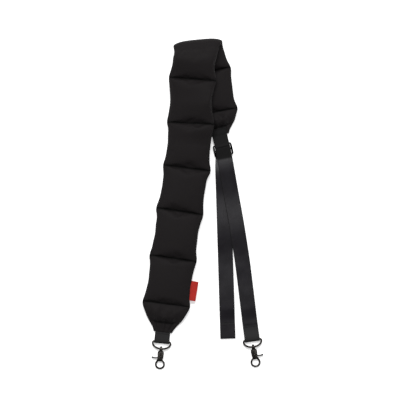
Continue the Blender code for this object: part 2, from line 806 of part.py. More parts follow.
def gate_lever(name, side, metal):
    """Thumb lever and gate in one, about the rivet: the gate closes the claw from inside."""
    half = lever_thickness / 2.0
    pivot = Vector((pivot_along, 0.0, 0.0))
    hub = cross_pin(0.0, 0.0, lever_hub / 2.0, lever_thickness, 16)
    lever = make_object(name, hub, metal)
    arm = [
        Vector((row["along"] * lever_reach, side * row["out"] * lever_reach, 0.0))
        for row in lever_arm]
    strip = flat_strip(
        arm, [row["width"] * half for row in lever_arm], [row["thickness"] * half for row in lever_arm])
    combine(lever, make_object("thumb", strip, metal), "UNION")
    root = claw_point(gate_root_deg, side) - pivot
    gate = [Vector((0.2 * mm, 0.0, 0.0)), Vector((root.x * 0.63, root.y * 0.38, 0.0))]
    widths = [gate_width * 0.53, gate_width * 0.53]
    talls = [half * 0.98, half * 0.98]
    for index in range(9):
        share = index / 8.0
        gate.append(claw_point(gate_root_deg + (gate_end_deg - gate_root_deg) * share, side) - pivot)
        widths.append(gate_width / 2.0)
        talls.append(half + (claw_wire * 0.47 - half) * smooth_step(share * 3.0))
    combine(lever, make_object("gate", flat_strip(gate, widths, talls), metal), "UNION")
    reach = cross_pin(0.0, 0.0, gate_reach, claw_wire * 2.0, 128)
    combine(lever, make_object("reach", reach, metal), "INTERSECT")
    hole = cross_pin(0.0, 0.0, pin_diameter / 2.0 + fit_gap, lever_thickness * 3.0)
    combine(lever, make_object("bore", hole, metal), "DIFFERENCE")
    return lever


def build_hook(which, side, eye_point, lean_deg, metal, bright):
    drop = eye_point.z - claw_wire / 2.0 - fit_gap / 2.0
    reach = claw_centre + claw_hole / 2.0 + claw_wire / 2.0
    pitch = math.degrees(math.asin(drop / reach))
    seat = seat_matrix(eye_point + down_direction(lean_deg) * (0.3 * mm), lean_deg, pitch)
    pivot = Matrix.Translation(Vector((pivot_along, 0.0, 0.0)))
    pin = cross_pin(0.0, 0.0, pin_diameter / 2.0, barrel_thickness * 0.92)
    swivel_eye("eye_" + which, metal).matrix_world = seat
    hook_body("hook_" + which, side, metal).matrix_world = seat
    gate_lever("lever_" + which, side, bright).matrix_world = seat @ pivot
    make_object("pin_" + which, pin, bright, seat @ pivot)


def build_label(rings, cloth):
    """Small folded label sewn into the pad's right side seam, standing out of it."""
    first = len(taper) - 1
    edge = []
    for share, ring in zip([0.0] + chamber_steps, rings[first:]):
        middle = (ring[points_across] + ring[points_across + 1]) / 2.0
        edge.append(dict(along=share, x=middle.x, y=middle.y, z=middle.z))
    reach = chambers[0]["length"] * chamber_length
    shares = [(label_start + label_length * index / 6.0) / reach for index in range(7)]
    points = [Vector([look_up(edge, axis, share) for axis in "xyz"]) for share in shares]
    sections = []
    droop = math.radians(label_droop_deg)
    half = Vector((0.0, 0.0, label_thickness / 2.0))
    along = (points[-1] - points[0]).normalized()
    out = sideways(-along)
    out = (out * math.cos(droop) - Vector((0.0, 0.0, math.sin(droop)))).normalized()
    for point in points:
        inner = point + out * fit_gap
        outer = point + out * label_reach
        sections.append([inner - half, outer - half, outer + half, inner + half])
    make_object("woven_label", loft(sections), cloth)


def settle():
    """Put the origin under the middle of the whole strap, at the floor."""
    bpy.context.view_layer.update()
    low = Vector((1e9, 1e9, 0.0))
    high = Vector((-1e9, -1e9, 0.0))
    for made in bpy.data.objects:
        for vertex in made.data.vertices:
            point = made.matrix_world @ vertex.co
            low.x, low.y = min(low.x, point.x), min(low.y, point.y)
            high.x, high.y = max(high.x, point.x), max(high.y, point.y)
    shift = (low + high) / -2.0
    for made in bpy.data.objects:
        made.matrix_world = Matrix.Translation(shift) @ made.matrix_world
    return shift


def build():
    clear_scene()
    cloth = finish_material("pad_cloth", (0.017, 0.015, 0.016), 0.75, 0.0)
    web = finish_material("webbing", (0.028, 0.026, 0.030), 0.5, 0.0)
    metal = finish_material("gunmetal", (0.045, 0.045, 0.048), 0.38, 0.9)
    bright = finish_material("worn_gunmetal", (0.07, 0.07, 0.075), 0.35, 0.9)
    red = finish_material("label_cloth", (0.58, 0.022, 0.016), 0.7, 0.0)

    ends, rings = build_pad(cloth)
    build_label(rings, red)
    left_end, left_lean = ends[0]
    right_end, right_lean = ends[1]

    path, ring_bar = tab_path(
        left_end, left_lean, ring_left_deg, tab_left_length, ring_height, ring_wire / 2.0)
    make_object("tab_left", ribbon(path), web)
    eye_left = d_ring("ring_left", ring_bar, ring_left_deg, metal)
    build_hook("left", -1.0, eye_left, hook_left_deg, metal, bright)

    path, top_bar = tab_path(
        right_end, right_lean, slide_deg, tab_right_length, slide_height, slide_bar_round)
    make_object("tab_right", ribbon(path), web)
    bar_pitch = (slide_length - slide_bar) / 2.0
    slide_centre = top_bar + down_direction(slide_deg) * bar_pitch
    build_slide(slide_centre, metal)
    ring_bar = build_strap(slide_centre, web)
    eye_right = d_ring("ring_right", ring_bar, ring_right_deg, metal)
    build_hook("right", 1.0, eye_right, hook_right_deg, metal, bright)
    settle()


build()
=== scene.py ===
import json
import math

import bmesh
import bpy
import numpy as np
from mathutils import Matrix, Vector, noise


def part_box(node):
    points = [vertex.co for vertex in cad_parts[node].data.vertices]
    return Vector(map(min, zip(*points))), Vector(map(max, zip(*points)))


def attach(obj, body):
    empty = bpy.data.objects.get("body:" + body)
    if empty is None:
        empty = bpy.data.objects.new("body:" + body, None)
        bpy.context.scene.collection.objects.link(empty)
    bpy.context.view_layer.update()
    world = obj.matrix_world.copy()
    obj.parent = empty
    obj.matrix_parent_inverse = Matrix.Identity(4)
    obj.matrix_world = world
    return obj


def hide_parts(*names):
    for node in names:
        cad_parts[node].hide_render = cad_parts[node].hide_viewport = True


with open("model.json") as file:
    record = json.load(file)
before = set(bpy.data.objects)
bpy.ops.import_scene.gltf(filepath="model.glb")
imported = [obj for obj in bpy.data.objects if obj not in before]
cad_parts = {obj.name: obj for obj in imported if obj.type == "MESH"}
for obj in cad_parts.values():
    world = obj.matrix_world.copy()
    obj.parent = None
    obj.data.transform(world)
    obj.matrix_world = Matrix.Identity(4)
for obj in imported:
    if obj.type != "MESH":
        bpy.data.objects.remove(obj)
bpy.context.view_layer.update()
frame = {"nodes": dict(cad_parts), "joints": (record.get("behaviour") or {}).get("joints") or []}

# Padded camera neck strap lying folded in half, seen straight from above. Metres, +Z up.
nodes = frame["nodes"]
joints = {joint["name"]: joint for joint in frame["joints"]}
scene = bpy.context.scene


# Helpers that every piece uses

def smoothStep(share):
    share = np.clip(share, 0.0, 1.0)
    return share * share * (3.0 - 2.0 * share)


def lookUp(rows, key, along, smooth=False):
    if along <= rows[0]["along"]:
        return rows[0][key]
    for low, high in zip(rows, rows[1:]):
        if along <= high["along"]:
            share = (along - low["along"]) / (high["along"] - low["along"])
            if smooth:
                share = float(smoothStep(share))
            return low[key] + (high[key] - low[key]) * share
    return rows[-1][key]


def column(rows, key):
    return [row[key] for row in rows]


def downWay(leanDeg):   # level direction of something that runs to the hooks and leans to the right
    lean = math.radians(leanDeg)
    return Vector((math.sin(lean), -math.cos(lean), 0.0))


def rightOf(direction):
    return Vector((-direction.y, direction.x, 0.0))


def addObject(name, mesh, material):   # takes the bmesh and frees it
    data = bpy.data.meshes.new(name)
    mesh.to_mesh(data)
    mesh.free()
    data.materials.append(material)
    data.shade_smooth()
    piece = bpy.data.objects.new(name, data)
    scene.collection.objects.link(piece)
    return piece


def applyAll(piece):   # turns the modifiers into plain mesh
    bpy.context.view_layer.update()
    depsgraph = bpy.context.evaluated_depsgraph_get()
    done = bpy.data.meshes.new_from_object(piece.evaluated_get(depsgraph), depsgraph=depsgraph)
    piece.modifiers.clear()
    piece.data = done


def cutWith(piece, tool, operation="DIFFERENCE"):   # the tool is used up
    step = piece.modifiers.new("step", "BOOLEAN")
    step.operation = operation
    step.solver = "EXACT"
    step.object = tool
    applyAll(piece)
    bpy.data.objects.remove(tool, do_unlink=True)


def smoothCut(piece, sharpDeg=36.0):
    piece.data.shade_smooth()
    piece.data.set_sharp_from_angle(angle=math.radians(sharpDeg))


def softenEdges(piece, width, segments=2, limitDeg=32.0):
    edges = piece.modifiers.new("soften", "BEVEL")
    edges.width = width
    edges.segments = segments
    edges.limit_method = "ANGLE"
    edges.angle_limit = math.radians(limitDeg)
    edges.harden_normals = False


def keep(piece, body, slotName, *cadNodes):   # attaches it to the body that it rides on and hides the solids it stands for
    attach(piece, body)
    if cadNodes:
        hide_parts(*cadNodes)


# Materials

def newMaterial(name, roughness, metallic=0.0):
    material = bpy.data.materials.new(name)
    material.use_nodes = True
    shader = material.node_tree.nodes["Principled BSDF"]
    shader.inputs["Roughness"].default_value = roughness
    shader.inputs["Metallic"].default_value = metallic
    return material, material.node_tree, shader


def addNode(tree, kind, **values):
    node = tree.nodes.new(kind)
    for key, value in values.items():
        setattr(node, key, value)
    return node


def mathNode(tree, operation, first, second=None):
    node = addNode(tree, "ShaderNodeMath", operation=operation)
    for socket, value in zip(node.inputs, (first, second)):
        if value is None:
            continue
        if isinstance(value, (int, float)):
            socket.default_value = value
        else:
            tree.links.new(value, socket)
    return node.outputs[0]


def noiseNode(tree, vector, size, detail=3.0, roughness=0.55):
    node = addNode(tree, "ShaderNodeTexNoise")
    node.inputs["Scale"].default_value = 1.0 / size
    node.inputs["Detail"].default_value = detail
    node.inputs["Roughness"].default_value = roughness
    tree.links.new(vector, node.inputs["Vector"])
    return node.outputs["Fac"]


def mixColours(tree, factor, low, high):
    node = addNode(tree, "ShaderNodeMix", data_type="RGBA")
    tree.links.new(factor, node.inputs[0])
    for socket, value in ((node.inputs[6], low), (node.inputs[7], high)):
        if isinstance(value, tuple):
            socket.default_value = (*value, 1.0)
        else:
            tree.links.new(value, socket)
    return node.outputs[2]


def mapRange(tree, value, low, high, outLow, outHigh):
    node = addNode(tree, "ShaderNodeMapRange")
    tree.links.new(value, node.inputs[0])
    for index, number in enumerate((low, high, outLow, outHigh)):
        node.inputs[index + 1].default_value = number
    return node.outputs[0]


def bumpFrom(tree, shader, height, strength, distance):
    bump = addNode(tree, "ShaderNodeBump")
    bump.inputs["Strength"].default_value = strength
    bump.inputs["Distance"].default_value = distance
    tree.links.new(height, bump.inputs["Height"])
    tree.links.new(bump.outputs["Normal"], shader.inputs["Normal"])


def threads(tree, coordinate, pitch):   # 0 between two threads and 1 on the crown of each
    turned = mathNode(tree, "MULTIPLY", coordinate, math.pi / pitch)
    return mathNode(tree, "ABSOLUTE", mathNode(tree, "SINE", turned))


def clothMaterial(name, look):   # woven from the mesh's own flat map, uneven in broad patches
    material, tree, shader = newMaterial(name, look["roughness"])
    uv = addNode(tree, "ShaderNodeUVMap", uv_map="flat")
    split = addNode(tree, "ShaderNodeSeparateXYZ")
    tree.links.new(uv.outputs["UV"], split.inputs[0])
    across = threads(tree, split.outputs["X"], look["warp"])
    along = threads(tree, split.outputs["Y"], look["weft"])
    weave = mathNode(tree, "MAXIMUM", mathNode(tree, "MULTIPLY", across, look["warpHeight"]), along)
    coords = addNode(tree, "ShaderNodeTexCoord").outputs["Object"]
    fine = noiseNode(tree, coords, look["fuzz"], 2.0)
    broad = noiseNode(tree, coords, look["patch"], 4.0)
    height = mathNode(tree, "ADD", weave, mathNode(tree, "MULTIPLY", fine, look["fuzzHeight"]))
    ground = mixColours(tree, mapRange(tree, broad, 0.35, 0.65, 0.0, 1.0), look["dark"], look["light"])
    crown = mapRange(tree, weave, 0.1, 1.0, 0.0, look["crownShare"])
    colour = mixColours(tree, crown, ground, look["crown"])
    # darker and duller where the mesh says so: painted shade in sewn channels and on stretches of webbing
    # round bars and at cut edges, and darker woven selvedges
    mark = addNode(tree, "ShaderNodeAttribute", attribute_name="shade").outputs["Fac"]
    colour = mixColours(tree, mark, colour, look["shade"])
    tree.links.new(colour, shader.inputs["Base Color"])
    rough = mapRange(tree, broad, 0.3, 0.7, look["roughness"] - 0.05, look["roughness"] + 0.05)
    rough = mathNode(tree, "MAXIMUM", rough, mathNode(tree, "MULTIPLY", mark, 0.95))
    tree.links.new(rough, shader.inputs["Roughness"])
    shader.inputs["Sheen Weight"].default_value = look["sheen"]
    shader.inputs["Sheen Roughness"].default_value = 0.45
    shader.inputs["Specular IOR Level"].default_value = look["specular"]
    bumpFrom(tree, shader, height, look["bump"], look["relief"])
    return material


def metalMaterial(name, look):   # dark plating, rubbed brighter in blotches
    material, tree, shader = newMaterial(name, look["roughness"], 1.0)
    shader.inputs["Specular Tint"].default_value = (look["rim"], look["rim"], look["rim"], 1.0)
    coords = addNode(tree, "ShaderNodeTexCoord").outputs["Object"]
    grain = noiseNode(tree, coords, look["grain"], 4.0, 0.65)
    blotch = noiseNode(tree, coords, look["blotch"], 3.0)
    rub = mapRange(tree, blotch, 0.42, 0.68, 0.0, 1.0)
    tree.links.new(mixColours(tree, rub, look["dark"], look["rubbed"]), shader.inputs["Base Color"])
    rough = mapRange(tree, grain, 0.3, 0.7, look["roughness"] - 0.08, look["roughness"] + 0.10)
    tree.links.new(rough, shader.inputs["Roughness"])
    bumpFrom(tree, shader, grain, look["bump"], look["relief"])
    return material


padCloth = clothMaterial("padCloth", dict(
    dark=(0.0046, 0.0036, 0.0038), light=(0.0069, 0.0056, 0.0059), crown=(0.0110, 0.0091, 0.0096),
    crownShare=0.5, shade=(0.0003, 0.0002, 0.0002), warp=0.00055, weft=0.00050, warpHeight=0.8,
    fuzz=0.0004, fuzzHeight=0.25, patch=0.045, roughness=0.72, sheen=0.02, specular=0.12,
    bump=0.35, relief=0.00012))
webbingCloth = clothMaterial("webbingCloth", dict(
    dark=(0.0017, 0.0012, 0.0022), light=(0.0029, 0.0022, 0.0040), crown=(0.0062, 0.0048, 0.0082),
    crownShare=0.5, shade=(0.0004, 0.0004, 0.0004), warp=0.00085, weft=0.00110, warpHeight=0.9,
    fuzz=0.0004, fuzzHeight=0.2, patch=0.02, roughness=0.40, sheen=0.015, specular=0.34,
    bump=0.26, relief=0.00014))
labelCloth = clothMaterial("labelCloth", dict(
    dark=(0.275, 0.0085, 0.006), light=(0.36, 0.0135, 0.0095), crown=(0.44, 0.027, 0.020),
    crownShare=0.5, shade=(0.26, 0.006, 0.004), warp=0.00035, weft=0.00045, warpHeight=0.7,
    fuzz=0.0003, fuzzHeight=0.2, patch=0.006, roughness=0.66, sheen=0.05, specular=0.2,
    bump=0.4, relief=0.00010))
gunmetal = metalMaterial("gunmetal", dict(
    dark=(0.026, 0.024, 0.022), rubbed=(0.075, 0.070, 0.064), grain=0.0006, blotch=0.006,
    roughness=0.38, rim=0.12, bump=0.12, relief=0.00008))
blackMetal = metalMaterial("blackMetal", dict(
    dark=(0.005, 0.005, 0.005), rubbed=(0.014, 0.013, 0.013), grain=0.0007, blotch=0.004,
    roughness=0.30, rim=0.12, bump=0.06, relief=0.00006))
wornMetal = metalMaterial("wornMetal", dict(
    dark=(0.045, 0.042, 0.039), rubbed=(0.120, 0.112, 0.104), grain=0.0006, blotch=0.005,
    roughness=0.34, rim=0.12, bump=0.12, relief=0.00008))


def threadMaterial(name, look):
    material, tree, shader = newMaterial(name, look["roughness"])
    shader.inputs["Specular IOR Level"].default_value = look["specular"]
    coords = addNode(tree, "ShaderNodeTexCoord").outputs["Object"]
    twist = noiseNode(tree, coords, look["twist"], 2.0)
    tree.links.new(mixColours(tree, twist, look["dark"], look["light"]), shader.inputs["Base Color"])
    bumpFrom(tree, shader, twist, look["bump"], look["relief"])
    return material


blackThread = threadMaterial("blackThread", dict(
    dark=(0.0012, 0.0011, 0.0012), light=(0.0040, 0.0036, 0.0038), twist=0.0003, roughness=0.8,
    specular=0.1, bump=0.4, relief=0.0001))
print("materials made")


# Where the fittings are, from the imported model

def placeOf(jointName):
    return Vector(joints[jointName]["pos_m"]), Vector(joints[jointName]["axis"]).normalized()


slideLow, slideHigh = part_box("slide")
slideCentre = (slideLow + slideHigh) / 2.0
fittings = dict(
    ringWire=0.0031, ringInside=0.0265, ringDepth=0.0121, ringCorner=0.003, ringDrop=0.00105,
    ringLeftDeg=-5.5, ringRightDeg=8.0, slideDeg=13.0,   # how far each leans to the right
    slideLength=0.021, slideWidth=0.032, slideBar=0.0025, slideRail=0.0029, slideThickness=0.0024,
    slideEdge=0.0005, slideCorner=0.004, slideSoft=0.0007, slotCorner=0.0009)
ringBar = {side: placeOf(side + "_ring_hinge")[0] for side in ("left", "right")}


# Pad: a flat quilted strip is puffed up by simulation, then leaned, folded over and laid down

pad = dict(
    chamberLength=0.0747, width=0.0795, thickness=0.018, seam=0.0036, edge=0.0026, scallop=0.0042,
    taperLeft=0.0475, taperRight=0.039, taperLeanLeft=7.2, taperLeanRight=2.0,
    tabLeft=0.0156, tabRight=0.017,   # webbing that shows beyond each end
    foldAfter=6, foldRadius=0.007, foldLead=0.0098, foldHalf=0.0046, foldRound=0.42, foldReach=0.030,
    foldHeld=0.016, foldGap=0.0007, creaseRiseDeg=5.5, creaseCalm=0.012,
    columns=36, chamberRows=34, taperRows=24, frames=20, pressure=3.0, looseness=0.018,
    channel=0.0016, stitchLift=0.0004, corners=0.0006, cornerRound=0.0056, cornerReach=0.0066,
    sideBumps=0.0009, bumpPitch=0.011, gathers=0.0006, gatherAt=0.006, gatherReach=0.007,
    rippleAcross=0.006, rippleAlong=0.05, pleats=0.0013, pleatCount=4.5)
# From the label's end up to the fold and on to the slide; heights are shares of the thickness
chambers = [
    dict(length=1.02, lean=9.0, midHeight=0.487, seamHeight=0.43, midRoll=0.0, seamRoll=0.0, skew=0.0),
    dict(length=1.05, lean=7.5, midHeight=0.487, seamHeight=0.43, midRoll=0.0, seamRoll=0.0, skew=0.0),
    dict(length=0.97, lean=10.0, midHeight=0.487, seamHeight=0.46, midRoll=0.0, seamRoll=1.0, skew=0.0),
    dict(length=0.99, lean=4.9, midHeight=0.62, seamHeight=0.94, midRoll=3.0, seamRoll=8.0, skew=0.0),
    dict(length=0.97, lean=1.2, midHeight=1.24, seamHeight=1.30, midRoll=11.0, seamRoll=6.0, skew=0.0),
    dict(length=0.86, lean=8.6, midHeight=1.66, seamHeight=1.267, midRoll=2.0, seamRoll=0.0, skew=14.1),
    dict(length=0.76, lean=7.0, midHeight=0.489, seamHeight=0.44, midRoll=0.0, seamRoll=0.0, skew=0.0),
    dict(length=0.90, lean=-3.2, midHeight=0.489, seamHeight=0.42, midRoll=0.0, seamRoll=0.0, skew=0.0),
]
# Both ends narrow in the same way, in shares of the pad's own sizes
taper = [
    dict(along=0.00, width=1.00, thickness=0.200, height=0.43),
    dict(along=0.06, width=0.985, thickness=0.48, height=0.43),
    dict(along=0.18, width=0.945, thickness=0.68, height=0.40),
    dict(along=0.32, width=0.87, thickness=0.72, height=0.37),
    dict(along=0.47, width=0.78, thickness=0.60, height=0.32),
    dict(along=0.59, width=0.69, thickness=0.38, height=0.22),
    dict(along=0.65, width=0.63, thickness=0.20, height=0.16),
    dict(along=0.72, width=0.57, thickness=0.26, height=0.15),
    dict(along=0.86, width=0.44, thickness=0.24, height=0.14),
    dict(along=1.00, width=0.35, thickness=0.23, height=0.13),
]
taperSeam = 0.65   # where the tuck is sewn across


def taperStations(length, lean, outwards):   # cross sections of one tapered end
    rows = []
    count = pad["taperRows"]
    shares = [index / count for index in range(count + 1)]
    if not outwards:
        shares.reverse()
    for index, share in enumerate(shares):
        rows.append(dict(
            step=length / count if index else 0.0, lean=lean,
            halfWidth=lookUp(taper, "width", share) * pad["width"] / 2.0,
            halfHeight=lookUp(taper, "thickness", share) * pad["thickness"] / 2.0,
            height=lookUp(taper, "height", share) * pad["thickness"], roll=0.0, skew=0.0,
            seam=share in (0.0, 1.0) or abs(share - taperSeam) < 0.5 / count, tapered=share))
    return rows


def padStations():   # cross sections of the whole pad, and which one lies on the crease
    half = pad["thickness"] / 2.0
    seamHalf = pad["seam"] / 2.0
    rows = taperStations(pad["taperLeft"], pad["taperLeanLeft"], False)
    leans = [pad["taperLeanLeft"]] + column(chambers, "lean") + [pad["taperLeanRight"]]
    before = dict(height=taper[0]["height"], roll=0.0, skew=0.0)
    for index, chamber in enumerate(chambers):
        length = chamber["length"] * pad["chamberLength"]
        heights = [
            dict(along=0.0, height=before["height"], roll=before["roll"]),
            dict(along=0.5, height=chamber["midHeight"], roll=chamber["midRoll"]),
            dict(along=1.0, height=chamber["seamHeight"], roll=chamber["seamRoll"]),
        ]
        count = pad["chamberRows"]
        shares = [0.5 - 0.5 * math.cos(math.pi * step / count) * (0.55 + 0.45 * abs(math.cos(
            math.pi * step / count))) for step in range(count + 1)]
        for step in range(1, count + 1):
            share = shares[step]
            middle = (share + shares[step - 1]) / 2.0
            other = leans[index] if middle < 0.5 else leans[index + 2]
            lean = leans[index + 1] + (other - leans[index + 1]) * abs(middle - 0.5)
            swell = (1.0 - abs(2.0 * share - 1.0) ** 5.0) ** 0.5 if step < count else 0.0
            rows.append(dict(
                step=(share - shares[step - 1]) * length, lean=lean,
                halfWidth=pad["width"] / 2.0 - pad["scallop"] * max(math.sin(math.pi * share), 0.0) ** 0.7,
                halfHeight=seamHalf + (half - seamHalf) * swell,
                height=lookUp(heights, "height", share, True) * pad["thickness"],
                roll=lookUp(heights, "roll", share, True),
                skew=before["skew"] + (chamber["skew"] - before["skew"]) * share,
                seam=step == count, tapered=0.0))
        before = dict(height=chamber["seamHeight"], roll=chamber["seamRoll"], skew=chamber["skew"])
        if index == pad["foldAfter"] - 1:
            crease = len(rows) - 1
    rows += taperStations(pad["taperRight"], pad["taperLeanRight"], True)[1:]
    start = ringBar["left"] - downWay(fittings["ringLeftDeg"]) * pad["tabLeft"]
    place = Vector((start.x, start.y))
    along = 0.0
    for row in rows:
        lean = math.radians(row["lean"])
        place = place + Vector((math.sin(lean), math.cos(lean))) * row["step"]
        along += row["step"]
        row["x"], row["y"], row["along"] = place.x, place.y, along
    for row in rows:
        row["toFold"] = abs(row["along"] - rows[crease]["along"])
        if row["toFold"] < pad["foldReach"] and not (row["seam"] and row["toFold"] > 0.0):
            opened = float(smoothStep(row["toFold"] / pad["foldReach"]))
            row["halfHeight"] = pad["foldHalf"] + (half - pad["foldHalf"]) * opened
    return rows, crease


stations, creaseRow = padStations()
padLine = {key: np.array(column(stations, key), float) for key in
           ("along", "x", "y", "lean", "halfWidth", "halfHeight", "height", "roll", "skew", "tapered")}
seamAlong = np.array([row["along"] for row in stations
                      if row["seam"] and row["tapered"] < taperSeam - 0.1 and row["toFold"] > 0.001])
tuckAlong = np.array([row["along"] for row in stations if row["seam"] and 0.5 < row["tapered"] < 0.9])
creaseAngle = math.radians(pad["creaseRiseDeg"])
creaseNormal = np.array((-math.sin(creaseAngle), math.cos(creaseAngle)))
creaseAlong = np.array((math.cos(creaseAngle), math.sin(creaseAngle)))
creaseLean = math.radians(stations[creaseRow]["lean"])
creasePoint = (np.array((stations[creaseRow]["x"], stations[creaseRow]["y"]))
               - np.array((math.sin(creaseLean), math.cos(creaseLean))) * pad["foldLead"])
backHeight = chambers[-1]["midHeight"] * pad["thickness"]
foldHeight = backHeight + pad["foldRadius"]


def alongPad(key, along):
    return np.interp(along, padLine["along"], padLine[key])


def layPad(points):   # points of the straight flat strip to where they lie in the folded pad
    across, along, thick = points[:, 0], points[:, 1], points[:, 2]
    radius = pad["foldRadius"]
    lean = np.radians(alongPad("lean", along))
    skew = np.tan(np.radians(alongPad("skew", along)))
    rightX = np.cos(lean) + np.sin(lean) * skew
    rightY = -np.sin(lean) + np.cos(lean) * skew
    flat = np.stack((alongPad("x", along) + rightX * across, alongPad("y", along) + rightY * across), 1)
    past = (flat - creasePoint) @ creaseNormal
    beside = (flat - creasePoint) @ creaseAlong
    turn = math.pi * radius
    beyond = np.clip(np.abs(across) / alongPad("halfWidth", along), 0.0, 1.0)
    sideTurn = 1.0 - pad["foldRound"] * beyond ** 5
    angle = np.clip(past / radius, 0.0, math.pi)
    reach = np.where(past <= 0.0, past, np.where(past < turn, sideTurn * radius * np.sin(angle),
                                                       turn - past))
    plan = creasePoint + np.outer(beside, creaseAlong) + np.outer(reach, creaseNormal)
    height = alongPad("height", along)
    tilt = np.tan(np.radians(alongPad("roll", along))) * across
    front = (height + tilt - foldHeight - radius) * smoothStep(-past / pad["foldLead"])
    back = (height - backHeight) * smoothStep((past - turn) / pad["foldLead"])
    lift = np.where(past <= 0.0, front, np.where(past >= turn, back, 0.0))
    outside = np.maximum(np.maximum(-past, past - turn), 0.0)
    room = radius - pad["foldGap"] + 0.12 * outside
    thin = np.where(thick < 0.0, -np.minimum(-thick, room), thick)
    outward = np.stack((creaseNormal[0] * np.sin(angle), creaseNormal[1] * np.sin(angle), np.cos(angle)), 1)
    centre = np.column_stack((plan, foldHeight + radius * np.cos(angle) + lift))
    laid = centre + outward * thin[:, None]
    laid[:, 2] = np.maximum(laid[:, 2], 0.0)
    return laid


def sideWave(along, side):   # uneven small bumps of the gathered side seams, from -1 to 1
    spot = Vector((along / pad["bumpPitch"], 7.3 * side, 0.0))
    return noise.noise(spot) + 0.6 * noise.noise(spot * 2.3)


def cornerWave(along, side):   # rounded corner at each seam and a pinch beyond it
    wave = 0.0
    for number, seam in enumerate(seamAlong):
        away = (along - seam) / pad["cornerReach"]
        pinch = 1.9 + 0.5 * noise.noise(Vector((3.7 * number, 5.1 * side, 0.5)))
        size = 1.0 + 0.7 * noise.noise(Vector((2.9 * number, 4.3 * side, 1.7)))
        wave += size * (math.exp(-away ** 2) - 0.7 * math.exp(-(abs(away) - pinch) ** 2 * 1.6))
    return wave


def buildStrip():   # the pad's shell, straight and flat, with its layers joined round the edge
    mesh = bmesh.new()
    columns, rows = pad["columns"], len(stations) - 1
    bmesh.ops.create_grid(mesh, x_segments=columns, y_segments=rows, size=1.0)
    mark = mesh.verts.layers.float.new("station")
    share = mesh.verts.layers.float.new("across")
    uv = mesh.loops.layers.uv.new("flat")
    for vert in mesh.verts:
        row = round((vert.co.y + 1.0) / 2.0 * rows)
        station = stations[row]
        vert[mark] = row
        vert[share] = math.sin(vert.co.x * math.pi / 2.0)
        side = math.copysign(1.0, vert[share])
        calm = 0.0 if station["seam"] else 1.0 - smoothStep(
            1.5 - abs(station["along"] - stations[creaseRow]["along"]) / pad["creaseCalm"])
        wave = sideWave(station["along"], side) * pad["sideBumps"] * calm
        if station["tapered"] < 0.3:
            wave += cornerWave(station["along"], side) * pad["corners"]
        wave *= vert[share] ** 4
        vert.co = (vert[share] * station["halfWidth"] + side * wave, station["along"], 0.0)
    for face in mesh.faces:
        for loop in face.loops:
            loop[uv].uv = (loop.vert.co.x, loop.vert.co.y)
    made = bmesh.ops.extrude_face_region(mesh, geom=mesh.faces[:], use_keep_orig=True)
    lower = {item for item in made["geom"] if isinstance(item, bmesh.types.BMVert)}
    for vert in mesh.verts:
        station = stations[round(vert[mark])]
        crown = max(1.0 - abs(vert[share]) ** 3.0, 0.0) ** 0.62
        middle = min(pad["edge"] / 2.0, station["halfHeight"])
        lift = middle + (station["halfHeight"] - middle) * crown
        vert.co.z = -lift if vert in lower else lift
    bmesh.ops.recalc_face_normals(mesh, faces=mesh.faces)
    return addObject("quiltedPad", mesh, padCloth)


def puffUp(strip):   # cloth with pressure, its seams held
    rows = np.zeros(len(strip.data.vertices))
    strip.data.attributes["station"].data.foreach_get("value", rows)
    held = strip.vertex_groups.new(name="held")
    for vertex, row in zip(strip.data.vertices, rows):
        station = stations[round(row)]
        if station["seam"]:
            held.add([vertex.index], 1.0, "REPLACE")
        elif station["tapered"] > taperSeam:
            held.add([vertex.index], 0.6, "REPLACE")
        elif station["toFold"] < pad["foldHeld"]:
            held.add([vertex.index], 1.0 - station["toFold"] / pad["foldHeld"], "REPLACE")
    cloth = strip.modifiers.new("cloth", "CLOTH")
    settings = cloth.settings
    settings.quality = 6
    settings.mass = 0.1
    settings.tension_stiffness = 20.0
    settings.compression_stiffness = 20.0
    settings.shear_stiffness = 8.0
    settings.bending_stiffness = 0.3
    settings.use_pressure = True
    settings.uniform_pressure_force = pad["pressure"]
    settings.shrink_min = -pad["looseness"]
    settings.vertex_group_mass = "held"
    settings.effector_weights.gravity = 0.0
    cloth.collision_settings.use_collision = False
    for number in range(1, pad["frames"] + 1):
        scene.frame_set(number)
    applyAll(strip)
    scene.frame_set(1)


def pointsOf(piece):
    flat = np.zeros(len(piece.data.vertices) * 3)
    piece.data.vertices.foreach_get("co", flat)
    return flat.reshape(-1, 3)


def setPoints(piece, points):
    piece.data.vertices.foreach_set("co", points.ravel())
    piece.data.update()


def readMark(piece, name):
    values = np.zeros(len(piece.data.vertices))
    piece.data.attributes[name].data.foreach_get("value", values)
    return values


def markShade(piece, values):
    shade = piece.data.attributes.new("shade", "FLOAT", "POINT")
    shade.data.foreach_set("value", values.astype(np.float32))


